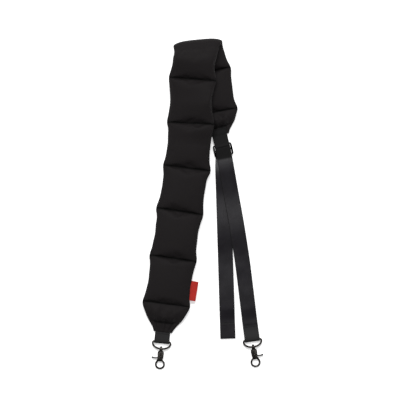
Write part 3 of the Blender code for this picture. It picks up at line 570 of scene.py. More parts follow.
def finishStrip(strip):   # gathers beside the seams, pleats in the tapered ends, painted shade in the channels
    points = pointsOf(strip)
    across = readMark(strip, "across")
    lines = np.lexsort((readMark(strip, "station"), across, points[:, 2] > 0.0))
    lines = lines.reshape(-1, len(stations))
    rows = padLine["along"]
    blur = np.exp(-((rows[:, None] - rows[None, :]) / pad["cornerRound"]) ** 2)
    rounded = points[lines, 0] @ (blur / blur.sum(1)[:, None]).T
    share = np.abs(across[lines]) ** 6
    points[lines, 0] += (rounded - points[lines, 0]) * share
    along = points[:, 1]
    tapered = alongPad("tapered", along)
    toSeam = np.abs(along[:, None] - seamAlong).min(1)
    toTuck = np.abs(along[:, None] - tuckAlong).min(1)
    calm = 1.0 - smoothStep(1.6 - np.abs(along - stations[creaseRow]["along"]) / pad["creaseCalm"])
    side = np.sign(points[:, 2])
    chamber = np.round(along / pad["chamberLength"])
    ripple = np.array([noise.noise(Vector((x / pad["rippleAcross"], y / pad["rippleAlong"], z)))
                       for x, y, z in zip(points[:, 0], along, chamber + 9.0 * side)])
    near = smoothStep(1.0 - np.abs(toSeam - pad["gatherAt"]) / pad["gatherReach"]) * (1.0 - tapered)
    gather = ripple * near * pad["gathers"] * calm
    pleat = np.cos(pad["pleatCount"] * math.pi * across) * smoothStep((tapered - 0.05) / 0.3)
    pleat = pleat * (1.0 - across ** 2) * pad["pleats"] * (1.0 - 0.6 * smoothStep((tapered - 0.8) / 0.2))
    edgeWave = np.array([sideWave(y * 1.7 + 0.3, s) for y, s in zip(along, np.sign(across) + 0.4 * side)])
    edgeWave = edgeWave * np.abs(across) ** 3 * pad["gathers"] * 0.8
    edgeWave = edgeWave * (1.0 - smoothStep(tapered / 0.2)) * calm
    points[:, 2] += side * (gather + pleat + edgeWave)
    setPoints(strip, points)
    # painted shade: darkens the sewn channels and the middle of each tuck seam
    channel = np.exp(-(toSeam / pad["channel"]) ** 2)
    tuck = np.exp(-(toTuck / pad["channel"]) ** 2) * smoothStep(3.0 - 4.0 * np.abs(across))
    markShade(strip, np.clip(np.maximum(channel, tuck) * 1.1, 0.0, 1.0))
    return points


quiltedPad = buildStrip()
puffUp(quiltedPad)
padPoints = finishStrip(quiltedPad)
setPoints(quiltedPad, layPad(padPoints))
finer = quiltedPad.modifiers.new("finer", "SUBSURF")
finer.levels = finer.render_levels = 1
keep(quiltedPad, "strap", "pad_cloth", "pad")
print("pad made:", len(padPoints), "points")


# Webbing

webbing = dict(
    width=0.025, thickness=0.00135, floorGap=0.0003, layerGap=0.00035, barClearance=0.00045,
    hookLeg=0.3175, tail=0.311, turnedEnd=0.025, insidePad=0.009, onPad=0.0095,
    onPadHeights=(0.0062, 0.0059), pastSlide=0.004, turnedRise=0.024, ringRise=0.021, looseTurn=0.0019,
    selvedge=0.0011, columns=14, legSteps=120, tailSteps=110)
# Gentle waves that both lengths lie in, from the hooks' end up along Y
waves = [
    dict(along=-0.193, lift=0.0), dict(along=-0.172, lift=0.0030), dict(along=-0.086, lift=0.0002),
    dict(along=-0.043, lift=0.0034), dict(along=0.016, lift=0.0007), dict(along=0.052, lift=0.0033),
    dict(along=0.080, lift=0.0),
]
# How far each length leans to the right on its way down from the slide
hookLegLean = [
    dict(along=0.00, lean=13.0), dict(along=0.06, lean=10.0), dict(along=0.30, lean=10.2),
    dict(along=0.50, lean=9.0), dict(along=0.68, lean=6.8), dict(along=0.88, lean=7.0),
    dict(along=1.00, lean=8.0),
]
tailLean = [
    dict(along=0.00, lean=13.0), dict(along=0.015, lean=-2.4), dict(along=0.07, lean=-2.4),
    dict(along=0.12, lean=1.8), dict(along=1.00, lean=1.7),
]
webLow = webbing["floorGap"] + webbing["thickness"] / 2.0
layerStep = webbing["thickness"] + webbing["layerGap"]
slideRound = math.hypot(
    fittings["slideBar"] / 2.0, fittings["slideThickness"] / 2.0 - fittings["slideEdge"])


def barTurn(centre, leanDeg, radius, startDeg, endDeg, steps=18, loose=0.0):   # 0 is above the bar
    down = downWay(leanDeg)
    turn = []
    for index in range(steps + 1):
        angle = math.radians(startDeg + (endDeg - startDeg) * index / steps)
        offset = down * (math.sin(angle) * (radius + loose))
        offset.z = math.cos(angle) * radius
        turn.append((centre + offset, rightOf(down)))
    return turn


def levelRun(start, leans, length, heights, steps):   # one length of webbing, lying in the waves
    run = []
    place = Vector((start.x, start.y, 0.0))
    for index in range(steps + 1):
        share = index / steps
        if index:
            place = place + downWay(lookUp(leans, "lean", share - 0.5 / steps)) * (length / steps)
        height = lookUp(heights, "height", share, smooth=True)
        height += lookUp(waves, "lift", place.y, smooth=True)
        run.append((Vector((place.x, place.y, height)), rightOf(downWay(lookUp(leans, "lean", share)))))
    return run


def layRibbon(name, path, size, material):   # flat grid laid along the path, with its own flat map
    mesh = bmesh.new()
    columns, rows = size["columns"], len(path) - 1
    bmesh.ops.create_grid(mesh, x_segments=columns, y_segments=rows, size=1.0)
    uv = mesh.loops.layers.uv.new("flat")
    lengths = [0.0]
    for (before, _), (after, _) in zip(path, path[1:]):
        lengths.append(lengths[-1] + (after - before).length)
    flatPlaces = []
    for vert in mesh.verts:
        row = round((vert.co.y + 1.0) / 2.0 * rows)
        across = math.sin(vert.co.x * math.pi / 2.0) * size["width"] / 2.0
        point, right = path[row]
        flatPlaces.append((across, lengths[row]))
        vert.co = point + right * across
    for face in mesh.faces:
        for loop in face.loops:
            loop[uv].uv = flatPlaces[loop.vert.index]
    ribbon = addObject(name, mesh, material)
    flatPlaces = np.array(flatPlaces)
    shade = 1.3 - (size["width"] / 2.0 - np.abs(flatPlaces[:, 0])) / size["selvedge"]
    for patch in size.get("shadePatches", []):   # stretches darkened with painted shade and made duller than the rest
        spot = (flatPlaces[:, 1] - patch["along"]) / patch["reach"]
        shade = np.maximum(shade, patch["depth"] * smoothStep(2.0 - 2.0 * np.abs(spot)))
    markShade(ribbon, np.clip(shade, 0.0, 1.0))
    wall = ribbon.modifiers.new("wall", "SOLIDIFY")
    wall.thickness = size["thickness"]
    wall.offset = 0.0
    softenEdges(ribbon, size["thickness"] * 0.3, 2, 60.0)
    applyAll(ribbon)
    return ribbon, lengths[-1]


def tabPath(centre, leanDeg, length, barRadius, loose=0.0, onPad=None):   # onPad: heights on the pad
    down = downWay(leanDeg)
    radius = barRadius + webbing["barClearance"] + webbing["thickness"] / 2.0
    start = centre - down * length
    upper = Vector((start.x, start.y, onPad[1] if onPad else webLow + layerStep))
    lower = Vector((start.x, start.y, webLow))
    inner = upper - down * (webbing["onPad"] if onPad else webbing["insidePad"])
    if onPad:
        inner.z = onPad[0]
    top = centre + Vector((0.0, 0.0, radius))
    bottom = centre - Vector((0.0, 0.0, radius))
    path = [(inner.lerp(upper, share), rightOf(down)) for share in (0.0, 0.35, 0.7)]
    for index in range(9):
        share = index / 9.0
        point = upper.lerp(top, share)
        point.z = upper.z + (top.z - upper.z) * float(smoothStep(share))
        path.append((point, rightOf(down)))
    path += barTurn(centre, leanDeg, radius, 0.0, 180.0, loose=loose)
    for index in range(1, 9):
        path.append((bottom.lerp(lower, index / 8.0 * 0.96), rightOf(down)))
    return path


def webbingPath():   # turned end, ring, up to the slide, round its middle bar and down the tail
    barRadius = slideRound + webbing["barClearance"] + webbing["thickness"] / 2.0
    ringRadius = fittings["ringWire"] / 2.0 + webbing["barClearance"] + webbing["thickness"] / 2.0
    overBar = slideCentre.z + barRadius
    onTail = webLow + layerStep
    leg = webbing["hookLeg"]
    bottomBar = fittings["slideLength"] / 2.0 + webbing["pastSlide"]
    heights = [
        dict(along=0.0, height=overBar),
        dict(along=bottomBar / leg, height=overBar),
        dict(along=bottomBar / leg + 0.10, height=onTail),
        dict(along=0.60, height=onTail),
        dict(along=0.72, height=webLow),
        dict(along=1.0 - (webbing["turnedEnd"] + webbing["turnedRise"]) / leg, height=webLow),
        dict(along=1.0 - webbing["turnedEnd"] / leg, height=onTail),
        dict(along=1.0 - webbing["ringRise"] / leg, height=onTail),
        dict(along=1.0, height=ringBar["right"].z + ringRadius),
    ]
    hookLeg = levelRun(slideCentre, hookLegLean, leg, heights, webbing["legSteps"])
    end = hookLeg[-1][0]
    miss = Vector((ringBar["right"].x - end.x, ringBar["right"].y - end.y, 0.0))
    hookLeg = [(point + miss * (index / webbing["legSteps"]), right)
               for index, (point, right) in enumerate(hookLeg)]
    flat = [dict(along=0.0, height=webLow), dict(along=1.0, height=webLow)]
    tail = levelRun(slideCentre, tailLean, webbing["tail"], flat, webbing["tailSteps"])
    ringDown = downWay(fittings["ringRightDeg"])
    path = []
    for index in range(10):
        point = ringBar["right"] - ringDown * (webbing["turnedEnd"] * (1.0 - index / 10.0))
        path.append((Vector((point.x, point.y, webLow)), rightOf(ringDown)))
    path += barTurn(ringBar["right"], fittings["ringRightDeg"], ringRadius, 180.0, 0.0)
    path += list(reversed(hookLeg))[1:-1]
    path += barTurn(slideCentre, fittings["slideDeg"], barRadius, 0.0, -180.0, loose=webbing["looseTurn"])
    path += tail[1:]
    tailDown = downWay(tailLean[-1]["lean"])
    foldCentre = tail[-1][0] + Vector((0.0, 0.0, layerStep / 2.0))
    path += barTurn(foldCentre, tailLean[-1]["lean"], layerStep / 2.0, 160.0, 0.0, steps=10)
    for index in range(1, 10):
        point = foldCentre - tailDown * (webbing["turnedEnd"] * index / 9.0)
        path.append((point + Vector((0.0, 0.0, layerStep / 2.0)), rightOf(tailDown)))
    return path


def pathLengths(path):
    steps = [(after[0] - before[0]).length for before, after in zip(path, path[1:])]
    return np.concatenate(([0.0], np.cumsum(steps)))


def nearestLength(path, place):
    away = [(point.xy - place.xy).length for point, right in path]
    return float(pathLengths(path)[int(np.argmin(away))])


def pathAt(path, length):
    lengths = pathLengths(path)
    index = int(np.clip(np.searchsorted(lengths, length), 1, len(path) - 1))
    share = (length - lengths[index - 1]) / max(lengths[index] - lengths[index - 1], 1e-9)
    forward = (path[index][0] - path[index - 1][0]).normalized()
    return path[index - 1][0].lerp(path[index][0], share), forward, path[index][1]


def addStitch(mesh, start, end, size):
    run = end - start
    turn = run.to_track_quat("X", "Z").to_matrix().to_4x4()
    matrix = Matrix.Translation((start + end) / 2.0) @ turn @ Matrix.Diagonal(
        (run.length / 2.0, size, size * 0.8, 1.0))
    bmesh.ops.create_uvsphere(mesh, u_segments=6, v_segments=5, radius=1.0, matrix=matrix)


stitch = dict(
    pitch=0.0031, length=0.0026, size=0.00034, webPitch=0.0024, webLength=0.0020, edge=0.0016,
    seamRoom=0.003, tuckRoom=0.008, ringRows=(0.0215, 0.0262), tailRows=(0.0012, 0.0035),
    padRows=(0.0012, 0.0085, 0.0105), neckRow=0.003)


def stitchAcross(mesh, path, length):   # one row of stitches on the webbing's upper face
    point, forward, right = pathAt(path, length)
    up = forward.cross(right) if forward.cross(right).z > 0.0 else right.cross(forward)
    half = webbing["width"] / 2.0 - stitch["edge"]
    count = int(2.0 * half / stitch["webPitch"])
    for index in range(count):
        middle = point + up * (webbing["thickness"] / 2.0)
        middle = middle + right * (-half + (index + 0.5) * 2.0 * half / count)
        reach = right * (stitch["webLength"] / 2.0)
        addStitch(mesh, middle - reach, middle + reach, stitch["size"])


def padStitches():   # a row on each face of every quilting seam, laid as the pad is
    mesh = bmesh.new()
    starts, ends = [], []
    for seam in list(seamAlong) + list(tuckAlong):
        room = stitch["seamRoom"] if seam in seamAlong else stitch["tuckRoom"]
        half = float(alongPad("halfWidth", seam)) - room
        lift = float(alongPad("halfHeight", seam))
        count = int(2.0 * half / stitch["pitch"])
        for index in range(count):
            middle = -half + (index + 0.5) * 2.0 * half / count
            crown = max(1.0 - abs(middle / float(alongPad("halfWidth", seam))) ** 3.0, 0.0) ** 0.62
            low = min(pad["edge"] / 2.0, lift)
            for side in (-1.0, 1.0):
                height = side * (low + (lift - low) * crown + pad["stitchLift"])
                starts.append((middle - stitch["length"] / 2.0, seam, height))
                ends.append((middle + stitch["length"] / 2.0, seam, height))
    for start, end in zip(layPad(np.array(starts)), layPad(np.array(ends))):
        if start[2] > stitch["size"] and end[2] > stitch["size"]:
            addStitch(mesh, Vector(start), Vector(end), stitch["size"])
    return mesh


webPath = webbingPath()
slideAlong = nearestLength(webPath[40:-60], slideCentre) + float(pathLengths(webPath)[40])
# painted shade on stretches of the strap webbing, laid over its own colour
strapShadePatches = [
    dict(along=slideAlong + 0.0025, reach=0.0105, depth=0.97),   # painted shade round the slide's bar
    dict(along=slideAlong - 0.0050, reach=0.0150, depth=1.0),   # painted shade coming off the slide
    dict(along=0.0360, reach=0.0300, depth=0.72),   # painted shade over the ring
    dict(along=float(pathLengths(webPath)[-1]), reach=0.0030, depth=1.0),   # painted shade on the cut edge of the turned end
]
strapWebbing, strapLength = layRibbon(
    "strapWebbing", webPath, dict(webbing, shadePatches=strapShadePatches), webbingCloth)
keep(strapWebbing, "strap", "webbing", "strap_webbing")
tabLeftPath = tabPath(ringBar["left"], fittings["ringLeftDeg"], pad["tabLeft"], fittings["ringWire"] / 2.0)
# painted shade over the left tab's visible length
tabLeftShadePatches = [dict(along=0.018, reach=0.028, depth=0.78)]
tabLeft, tabLeftLength = layRibbon(
    "tabLeft", tabLeftPath, dict(webbing, shadePatches=tabLeftShadePatches), webbingCloth)
keep(tabLeft, "strap", "webbing", "tab_left")
barPitch = (fittings["slideLength"] - fittings["slideBar"]) / 2.0
topBar = slideCentre - downWay(fittings["slideDeg"]) * barPitch
tabRightPath = tabPath(topBar, fittings["slideDeg"], pad["tabRight"], slideRound,
                       webbing["looseTurn"], webbing["onPadHeights"])
# painted shade over the right tab, down to the slide
tabRightShadePatches = [dict(along=0.010, reach=0.030, depth=0.93)]
tabRight, tabRightLength = layRibbon(
    "tabRight", tabRightPath, dict(webbing, shadePatches=tabRightShadePatches), webbingCloth)
keep(tabRight, "strap", "webbing", "tab_right")

padThread = addObject("padThread", padStitches(), blackThread)
keep(padThread, "strap", "pad_cloth")
mesh = bmesh.new()
ringAlong = nearestLength(webPath[28:90], ringBar["right"]) + float(pathLengths(webPath)[28])
for row in stitch["ringRows"]:
    stitchAcross(mesh, webPath, ringAlong + row)
for row in stitch["tailRows"]:
    stitchAcross(mesh, webPath, strapLength - row)
for row in stitch["padRows"]:
    stitchAcross(mesh, tabRightPath, row)
stitchAcross(mesh, tabLeftPath, webbing["insidePad"] + stitch["neckRow"])
webThread = addObject("webThread", mesh, blackThread)
keep(webThread, "strap", "webbing")
print("webbing made:", round(strapLength, 4), "m of strap webbing")


# Woven label: a bare ribbon folded once and sewn into the side seam

label = dict(thickness=0.00034, layerGap=0.00016, insidePad=0.0030, seamReach=0.0025, selvedge=0.0009,
             leanDeg=9.2, columns=16, steps=14)


def labelPath():   # out of the seam, over its fold and back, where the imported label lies
    out = Vector((math.cos(math.radians(label["leanDeg"])), -math.sin(math.radians(label["leanDeg"])), 0.0))
    up = Vector((-out.y, out.x, 0.0))
    corners = pointsOf(nodes["woven_label"])
    beside, along = corners @ np.array(out), corners @ np.array(up)
    inner = corners[beside < beside.min() + label["seamReach"]]
    outer = corners[beside > beside.max() - label["seamReach"]]
    start, end = beside.min() - label["insidePad"], beside.max()
    middle = up * float((along.min() + along.max()) / 2.0)
    drop = (outer[:, 2].mean() - inner[:, 2].mean()) / (end - beside.min())
    half = (label["thickness"] + label["layerGap"]) / 2.0

    def spot(beyond, lift):
        height = inner[:, 2].mean() + drop * (beyond - beside.min()) + lift
        return middle + out * float(beyond) + Vector((0.0, 0.0, float(height)))

    path = [(spot(start + (end - half - start) * step / label["steps"], -half), up)
            for step in range(label["steps"])]
    for step in range(9):
        angle = math.pi * step / 8.0
        path.append((spot(end - half + half * math.sin(angle), -half * math.cos(angle)), up))
    path += [(spot(end - half - (end - half - start) * step / label["steps"], half), up)
             for step in range(1, label["steps"] + 1)]
    return path, float(along.max() - along.min())


labelWay, label["width"] = labelPath()
wovenLabel, labelCut = layRibbon("wovenLabel", labelWay, label, labelCloth)
keep(wovenLabel, "strap", "label_cloth", "woven_label")
print("label made")


# Metal pieces, each made about its own seat and then put there

hook = dict(
    eyeHole=0.0044, eyeOuter=0.009, eyeBreadth=0.0066, eyeRim=0.0011, eyeNarrow=0.28,
    stem=0.0032, head=0.0048, headDepth=0.0016, headLength=0.0015, headSlope=0.0004,
    barrelWidth=0.0104, barrelThickness=0.0068, barrelStart=0.0035, barrelEnd=0.0205,
    clawCentre=0.0256, clawHole=0.0106, clawWire=0.0031, clawTipDeg=98.0, clawRootDeg=48.0,
    gateRootDeg=30.0, gateEndDeg=116.0, gateReach=0.0167, gateWidth=0.0028, gateRoomDeg=3.0,
    gateSwingDeg=48.0, forkBack=0.0031, forkFront=0.0041, forkWall=0.0027,
    leverThickness=0.0019, leverReach=0.0143, leverHub=0.0044, pivot=0.0124, pin=0.0018, gap=0.0003)
# Shares of the barrel's length and width
barrelProfile = [
    dict(along=0.00, width=0.62), dict(along=0.04, width=0.86), dict(along=0.11, width=0.97),
    dict(along=0.24, width=1.00), dict(along=0.53, width=1.00), dict(along=0.76, width=0.88),
    dict(along=0.91, width=0.74), dict(along=1.00, width=0.58),
]
# Where the claw grows out of the barrel, in the same shares and of its own wire
clawRoot = [
    dict(along=0.62, beside=0.298, wire=0.97), dict(along=0.79, beside=0.337, wire=1.10),
    dict(along=0.95, beside=0.423, wire=1.13),
]
# Middle line of the thumb lever, in shares of its reach
leverArm = [
    dict(along=0.021, out=0.028, width=1.26, thickness=0.96),
    dict(along=0.140, out=0.252, width=1.06, thickness=0.96),
    dict(along=0.192, out=0.455, width=0.95, thickness=1.00),
    dict(along=0.203, out=0.664, width=0.95, thickness=1.00),
    dict(along=0.182, out=0.839, width=1.05, thickness=1.15),
    dict(along=0.133, out=1.000, width=1.32, thickness=1.35),
]


def seatAt(origin, downAxis, upAxis):   # local x down the strap, y to the right, z up
    downAxis = downAxis.normalized()
    rightAxis = upAxis.cross(downAxis).normalized()
    seat = Matrix((downAxis, rightAxis, downAxis.cross(rightAxis))).transposed().to_4x4()
    seat.translation = origin
    return seat


def hookSeat(side):
    axis = placeOf(side + "_swivel")[1]
    pivot, pin = placeOf(side + "_lever_hinge")
    axis = -axis if axis.y > 0.0 else axis
    pin = -pin if pin.z < 0.0 else pin
    return seatAt(pivot - axis * hook["pivot"], axis, pin)


def smoothRow(rows, share):   # a smooth curve through rows of numbers
    spot = share * (len(rows) - 1)
    index = min(int(spot), len(rows) - 2)
    part = spot - index
    before, low, high, after = (rows[min(max(index + step, 0), len(rows) - 1)] for step in (-1, 0, 1, 2))
    return [0.5 * (2.0 * b + (c - a) * part + (2.0 * a - 5.0 * b + 4.0 * c - d) * part ** 2
                   + (3.0 * b - a - 3.0 * c + d) * part ** 3)
            for a, b, c, d in zip(before, low, high, after)]


def wire(name, points, radii, material, closed=False):   # round wire, a curve made into a mesh
    curve = bpy.data.curves.new(name, "CURVE")
    curve.dimensions = "3D"
    curve.twist_mode = "Z_UP"
    curve.bevel_depth = 1.0
    curve.bevel_resolution = 6
    curve.use_fill_caps = not closed
    line = curve.splines.new("POLY")
    line.points.add(len(points) - 1)
    line.use_cyclic_u = closed
    for spot, point, radius in zip(line.points, points, radii):
        spot.co = (*point, 1.0)
        spot.radius = radius
    guide = bpy.data.objects.new(name + "Guide", curve)
    scene.collection.objects.link(guide)
    bpy.context.view_layer.update()
    depsgraph = bpy.context.evaluated_depsgraph_get()
    mesh = bmesh.new()
    mesh.from_mesh(guide.evaluated_get(depsgraph).to_mesh())
    bpy.data.objects.remove(guide, do_unlink=True)
    bmesh.ops.remove_doubles(mesh, verts=mesh.verts, dist=1e-7)
    bmesh.ops.recalc_face_normals(mesh, faces=mesh.faces)
    return addObject(name, mesh, material)


def lathe(name, profile, material, steps=48, flatten=1.0):   # (along, radius) turned about local x
    mesh = bmesh.new()
    line = [(profile[0][0], 0.0)] + list(profile) + [(profile[-1][0], 0.0)]
    verts = [mesh.verts.new((along, radius, 0.0)) for along, radius in line]
    edges = [mesh.edges.new(pair) for pair in zip(verts, verts[1:])]
    bmesh.ops.spin(mesh, geom=verts + edges, axis=(1.0, 0.0, 0.0), cent=(0.0, 0.0, 0.0),
                   angle=2.0 * math.pi, steps=steps, use_merge=True)
    bmesh.ops.remove_doubles(mesh, verts=mesh.verts, dist=1e-7)
    bmesh.ops.scale(mesh, vec=(1.0, 1.0, flatten), verts=mesh.verts)
    bmesh.ops.recalc_face_normals(mesh, faces=mesh.faces)
    return addObject(name, mesh, material)


def block(name, size, centre, material, corner=0.0):   # box, its upright edges rounded
    mesh = bmesh.new()
    bmesh.ops.create_cube(mesh, size=1.0)
    bmesh.ops.scale(mesh, vec=size, verts=mesh.verts)
    if corner:
        upright = [edge for edge in mesh.edges
                   if abs(edge.verts[0].co.z - edge.verts[1].co.z) > size[2] / 2.0]
        bmesh.ops.bevel(mesh, geom=upright, offset=corner, segments=8, profile=0.5, affect="EDGES",
                        material=-1)
    bmesh.ops.translate(mesh, vec=centre, verts=mesh.verts)
    return addObject(name, mesh, material)


def rod(name, radius, length, centre, material, rim=0.0):   # round bar along local z
    mesh = bmesh.new()
    bmesh.ops.create_cone(mesh, cap_ends=True, segments=64, radius1=radius, radius2=radius, depth=length)
    if rim:
        rims = [edge for edge in mesh.edges if abs(edge.verts[0].co.z - edge.verts[1].co.z) < 1e-7]
        bmesh.ops.bevel(mesh, geom=rims, offset=rim, segments=4, profile=0.5, affect="EDGES", material=-1)
    bmesh.ops.translate(mesh, vec=centre, verts=mesh.verts)
    return addObject(name, mesh, material)


def flatBar(name, rows, material):   # rows of along, beside, half width and half thickness
    mesh = bmesh.new()
    last = len(rows) - 1
    bmesh.ops.create_grid(mesh, x_segments=last, y_segments=1, size=1.0)
    for vert in mesh.verts:
        index = round((vert.co.x + 1.0) / 2.0 * last)
        before, after = Vector(rows[max(index - 1, 0)][:2]), Vector(rows[min(index + 1, last)][:2])
        forward = (after - before).normalized()
        along, beside, half, tall = rows[index]
        side = math.copysign(half, vert.co.y)
        vert.co = (along - forward.y * side, beside + forward.x * side, tall)
    made = bmesh.ops.extrude_face_region(mesh, geom=mesh.faces[:], use_keep_orig=True)
    for vert in (item for item in made["geom"] if isinstance(item, bmesh.types.BMVert)):
        vert.co.z = -vert.co.z
    bmesh.ops.recalc_face_normals(mesh, faces=mesh.faces)
    return addObject(name, mesh, material)


def finishMetal(piece, seat, body, slotName, node, soften=0.00016):
    if soften:
        softenEdges(piece, soften, 2, 40.0)
        applyAll(piece)
    piece.data.transform(seat)
    smoothCut(piece)
    keep(piece, body, slotName, node)


def ringPoints():
    half = (fittings["ringInside"] + fittings["ringWire"]) / 2.0
    corner, deep = fittings["ringCorner"], fittings["ringDepth"]
    turns = [math.radians(90.0 * step / 8.0) for step in range(1, 8)]
    corners = [(corner * (1.0 - math.cos(turn)), half - corner * (1.0 - math.sin(turn))) for turn in turns]
    points = [(0.0, (half - corner) * share) for share in (-1.0, -0.5, 0.0, 0.5, 1.0)] + corners
    for step in range(49):
        turn = math.pi * step / 48.0
        points.append((corner + (deep - corner) * math.sin(turn), half * math.cos(turn)))
    points += [(along, -beside) for along, beside in reversed(corners)]
    return [Vector((along, beside, 0.0)) for along, beside in points]


def buildRing(side, leanDeg):
    rise = math.asin(fittings["ringDrop"] / fittings["ringDepth"])
    down = downWay(leanDeg)
    seat = seatAt(ringBar[side], down * math.cos(rise) + Vector((0.0, 0.0, math.sin(rise))),
                  Vector((0.0, 0.0, math.cos(rise))) - down * math.sin(rise))
    points = ringPoints()
    ring = wire(side + "Ring", points, [fittings["ringWire"] / 2.0] * len(points), gunmetal, closed=True)
    finishMetal(ring, seat, side + "_ring", "gunmetal", "ring_" + side, 0.0)


def buildSlide():
    size = (fittings["slideLength"], fittings["slideWidth"], fittings["slideThickness"])
    slide = block("metalSlide", size, (0.0, 0.0, 0.0), blackMetal, fittings["slideCorner"])
    slotLong = size[1] - 2.0 * fittings["slideRail"]
    slotWide = (size[0] - 3.0 * fittings["slideBar"]) / 2.0
    for side in (-1.0, 1.0):
        middle = side * (fittings["slideBar"] + slotWide) / 2.0
        cutWith(slide, block("slot", (slotWide, slotLong, size[2] * 3.0), (middle, 0.0, 0.0),
                             blackMetal, fittings["slotCorner"]))
    softenEdges(slide, fittings["slideSoft"], 4, 40.0)
    applyAll(slide)
    seat = seatAt(slideCentre, downWay(fittings["slideDeg"]), Vector((0.0, 0.0, 1.0)))
    finishMetal(slide, seat, "strap", "gunmetal", "slide", 0.0)


def buildEye(side, seat):
    outer, gap, start = hook["eyeOuter"] / 2.0, hook["gap"], hook["barrelStart"]
    eye = rod(side + "Eye", outer, hook["eyeBreadth"], (0.0, 0.0, 0.0), gunmetal, hook["eyeRim"])
    eye.data.transform(Matrix.Rotation(math.radians(90.0), 4, "X"))
    for vertex in eye.data.vertices:
        vertex.co.y *= 1.0 - hook["eyeNarrow"] + hook["eyeNarrow"] * vertex.co.x / outer
    cutWith(eye, block("shoulder", (outer, outer * 4.0, outer * 4.0),
                       (start - gap + outer / 2.0, 0.0, 0.0), gunmetal))
    headStart = start + hook["headDepth"]
    thin, wide = hook["stem"] / 2.0, hook["head"] / 2.0
    stem = lathe("stem", [
        (hook["eyeHole"] / 2.0 + 0.0008, thin), (headStart, thin),
        (headStart + hook["headSlope"], wide), (headStart + hook["headLength"], wide)], gunmetal)
    cutWith(eye, stem, "UNION")
    hole = rod("hole", hook["eyeHole"] / 2.0, hook["eyeBreadth"] * 3.0, (0.0, 0.0, 0.0), gunmetal)
    hole.data.transform(Matrix.Rotation(math.radians(90.0), 4, "X"))
    cutWith(eye, hole)
    finishMetal(eye, seat, side + "_ring", "gunmetal", "eye_" + side, 0.00025)


def clawSpot(angleDeg, hand):
    angle = math.radians(angleDeg)
    radius = (hook["clawHole"] + hook["clawWire"]) / 2.0
    return Vector((hook["clawCentre"] - radius * math.cos(angle), -hand * radius * math.sin(angle), 0.0))


def swingRoom(hand):   # cutter for the arc that the gate's end swings through
    mesh = bmesh.new()
    inner, outer = hook["gateReach"] * 0.7, hook["gateReach"] + hook["gap"]
    bmesh.ops.create_grid(mesh, x_segments=1, y_segments=1, size=0.5)
    bmesh.ops.scale(mesh, vec=(outer - inner, hook["clawWire"] * 2.0, 1.0), verts=mesh.verts)
    bmesh.ops.rotate(mesh, verts=mesh.verts, matrix=Matrix.Rotation(math.radians(90.0), 3, "X"))
    bmesh.ops.translate(mesh, vec=((inner + outer) / 2.0, 0.0, 0.0), verts=mesh.verts)
    bmesh.ops.rotate(mesh, verts=mesh.verts,
                     matrix=Matrix.Rotation(math.radians(hook["gateRoomDeg"] * hand), 3, "Z"))
    bmesh.ops.spin(mesh, geom=mesh.verts[:] + mesh.edges[:] + mesh.faces[:], axis=(0.0, 0.0, 1.0),
                   cent=(0.0, 0.0, 0.0), angle=math.radians(-hook["gateSwingDeg"] * hand), steps=24)
    bmesh.ops.translate(mesh, vec=(hook["pivot"], 0.0, 0.0), verts=mesh.verts)
    bmesh.ops.recalc_face_normals(mesh, faces=mesh.faces)
    return addObject("swingRoom", mesh, gunmetal)


def buildHook(side, hand, seat):
    start, long = hook["barrelStart"], hook["barrelEnd"] - hook["barrelStart"]
    wide, gap = hook["barrelWidth"], hook["gap"]
    rows = [(start + row["along"] * long, row["width"] * wide / 2.0) for row in barrelProfile]
    profile = [smoothRow(rows, step / 42.0) for step in range(43)]
    body = lathe(side + "Hook", profile, gunmetal, 56, hook["barrelThickness"] / wide)
    rows = [(start + row["along"] * long, hand * row["beside"] * wide, row["wire"] * hook["clawWire"] / 2.0)
            for row in clawRoot]
    sweep = 360.0 - hook["clawRootDeg"] - hook["clawTipDeg"]
    for step in range(19):
        spot = clawSpot(-hook["clawRootDeg"] - sweep * step / 18.0, hand)
        rows.append((spot.x, spot.y, hook["clawWire"] / 2.0 * (1.06 if step < 3 else 1.0)))
    rows = [smoothRow(rows, step / 84.0) for step in range(85)]
    claw = wire("claw", [Vector((row[0], row[1], 0.0)) for row in rows], [row[2] for row in rows], gunmetal)
    cutWith(claw, swingRoom(hand))
    cutWith(body, claw, "UNION")
    slot = hook["leverThickness"] + 2.0 * gap
    back, past = hook["pivot"] - hook["forkBack"], hook["barrelEnd"] + hook["clawWire"] / 2.0
    front = hook["pivot"] + hook["forkFront"]
    low, high = sorted((-hand * wide, hand * hook["forkWall"]))
    cutWith(body, block("fork", (past - back, high - low, slot),
                        ((past + back) / 2.0, (low + high) / 2.0, 0.0), gunmetal))
    low, high = sorted((hand * hook["forkWall"] * 0.9, hand * wide))
    cutWith(body, block("fork", (front - back, high - low, slot),
                        ((front + back) / 2.0, (low + high) / 2.0, 0.0), gunmetal))
    headStart = start + hook["headDepth"]
    stem, head = hook["stem"] / 2.0 + gap, hook["head"] / 2.0 + gap
    cutWith(body, lathe("cavity", [
        (start - 0.001, stem), (headStart - gap, stem), (headStart + hook["headSlope"] - gap, head),
        (headStart + hook["headLength"] + gap, head)], gunmetal))
    cutWith(body, rod("pinHole", hook["pin"] / 2.0 + gap, 0.02, (hook["pivot"], 0.0, 0.0), gunmetal))
    finishMetal(body, seat, side + "_hook", "gunmetal", "hook_" + side)
    pin = rod(side + "Pin", hook["pin"] / 2.0, hook["barrelThickness"] * 0.94,
              (hook["pivot"], 0.0, 0.0), wornMetal, 0.00035)
    finishMetal(pin, seat, side + "_hook", "lever_metal", "pin_" + side, 0.0)


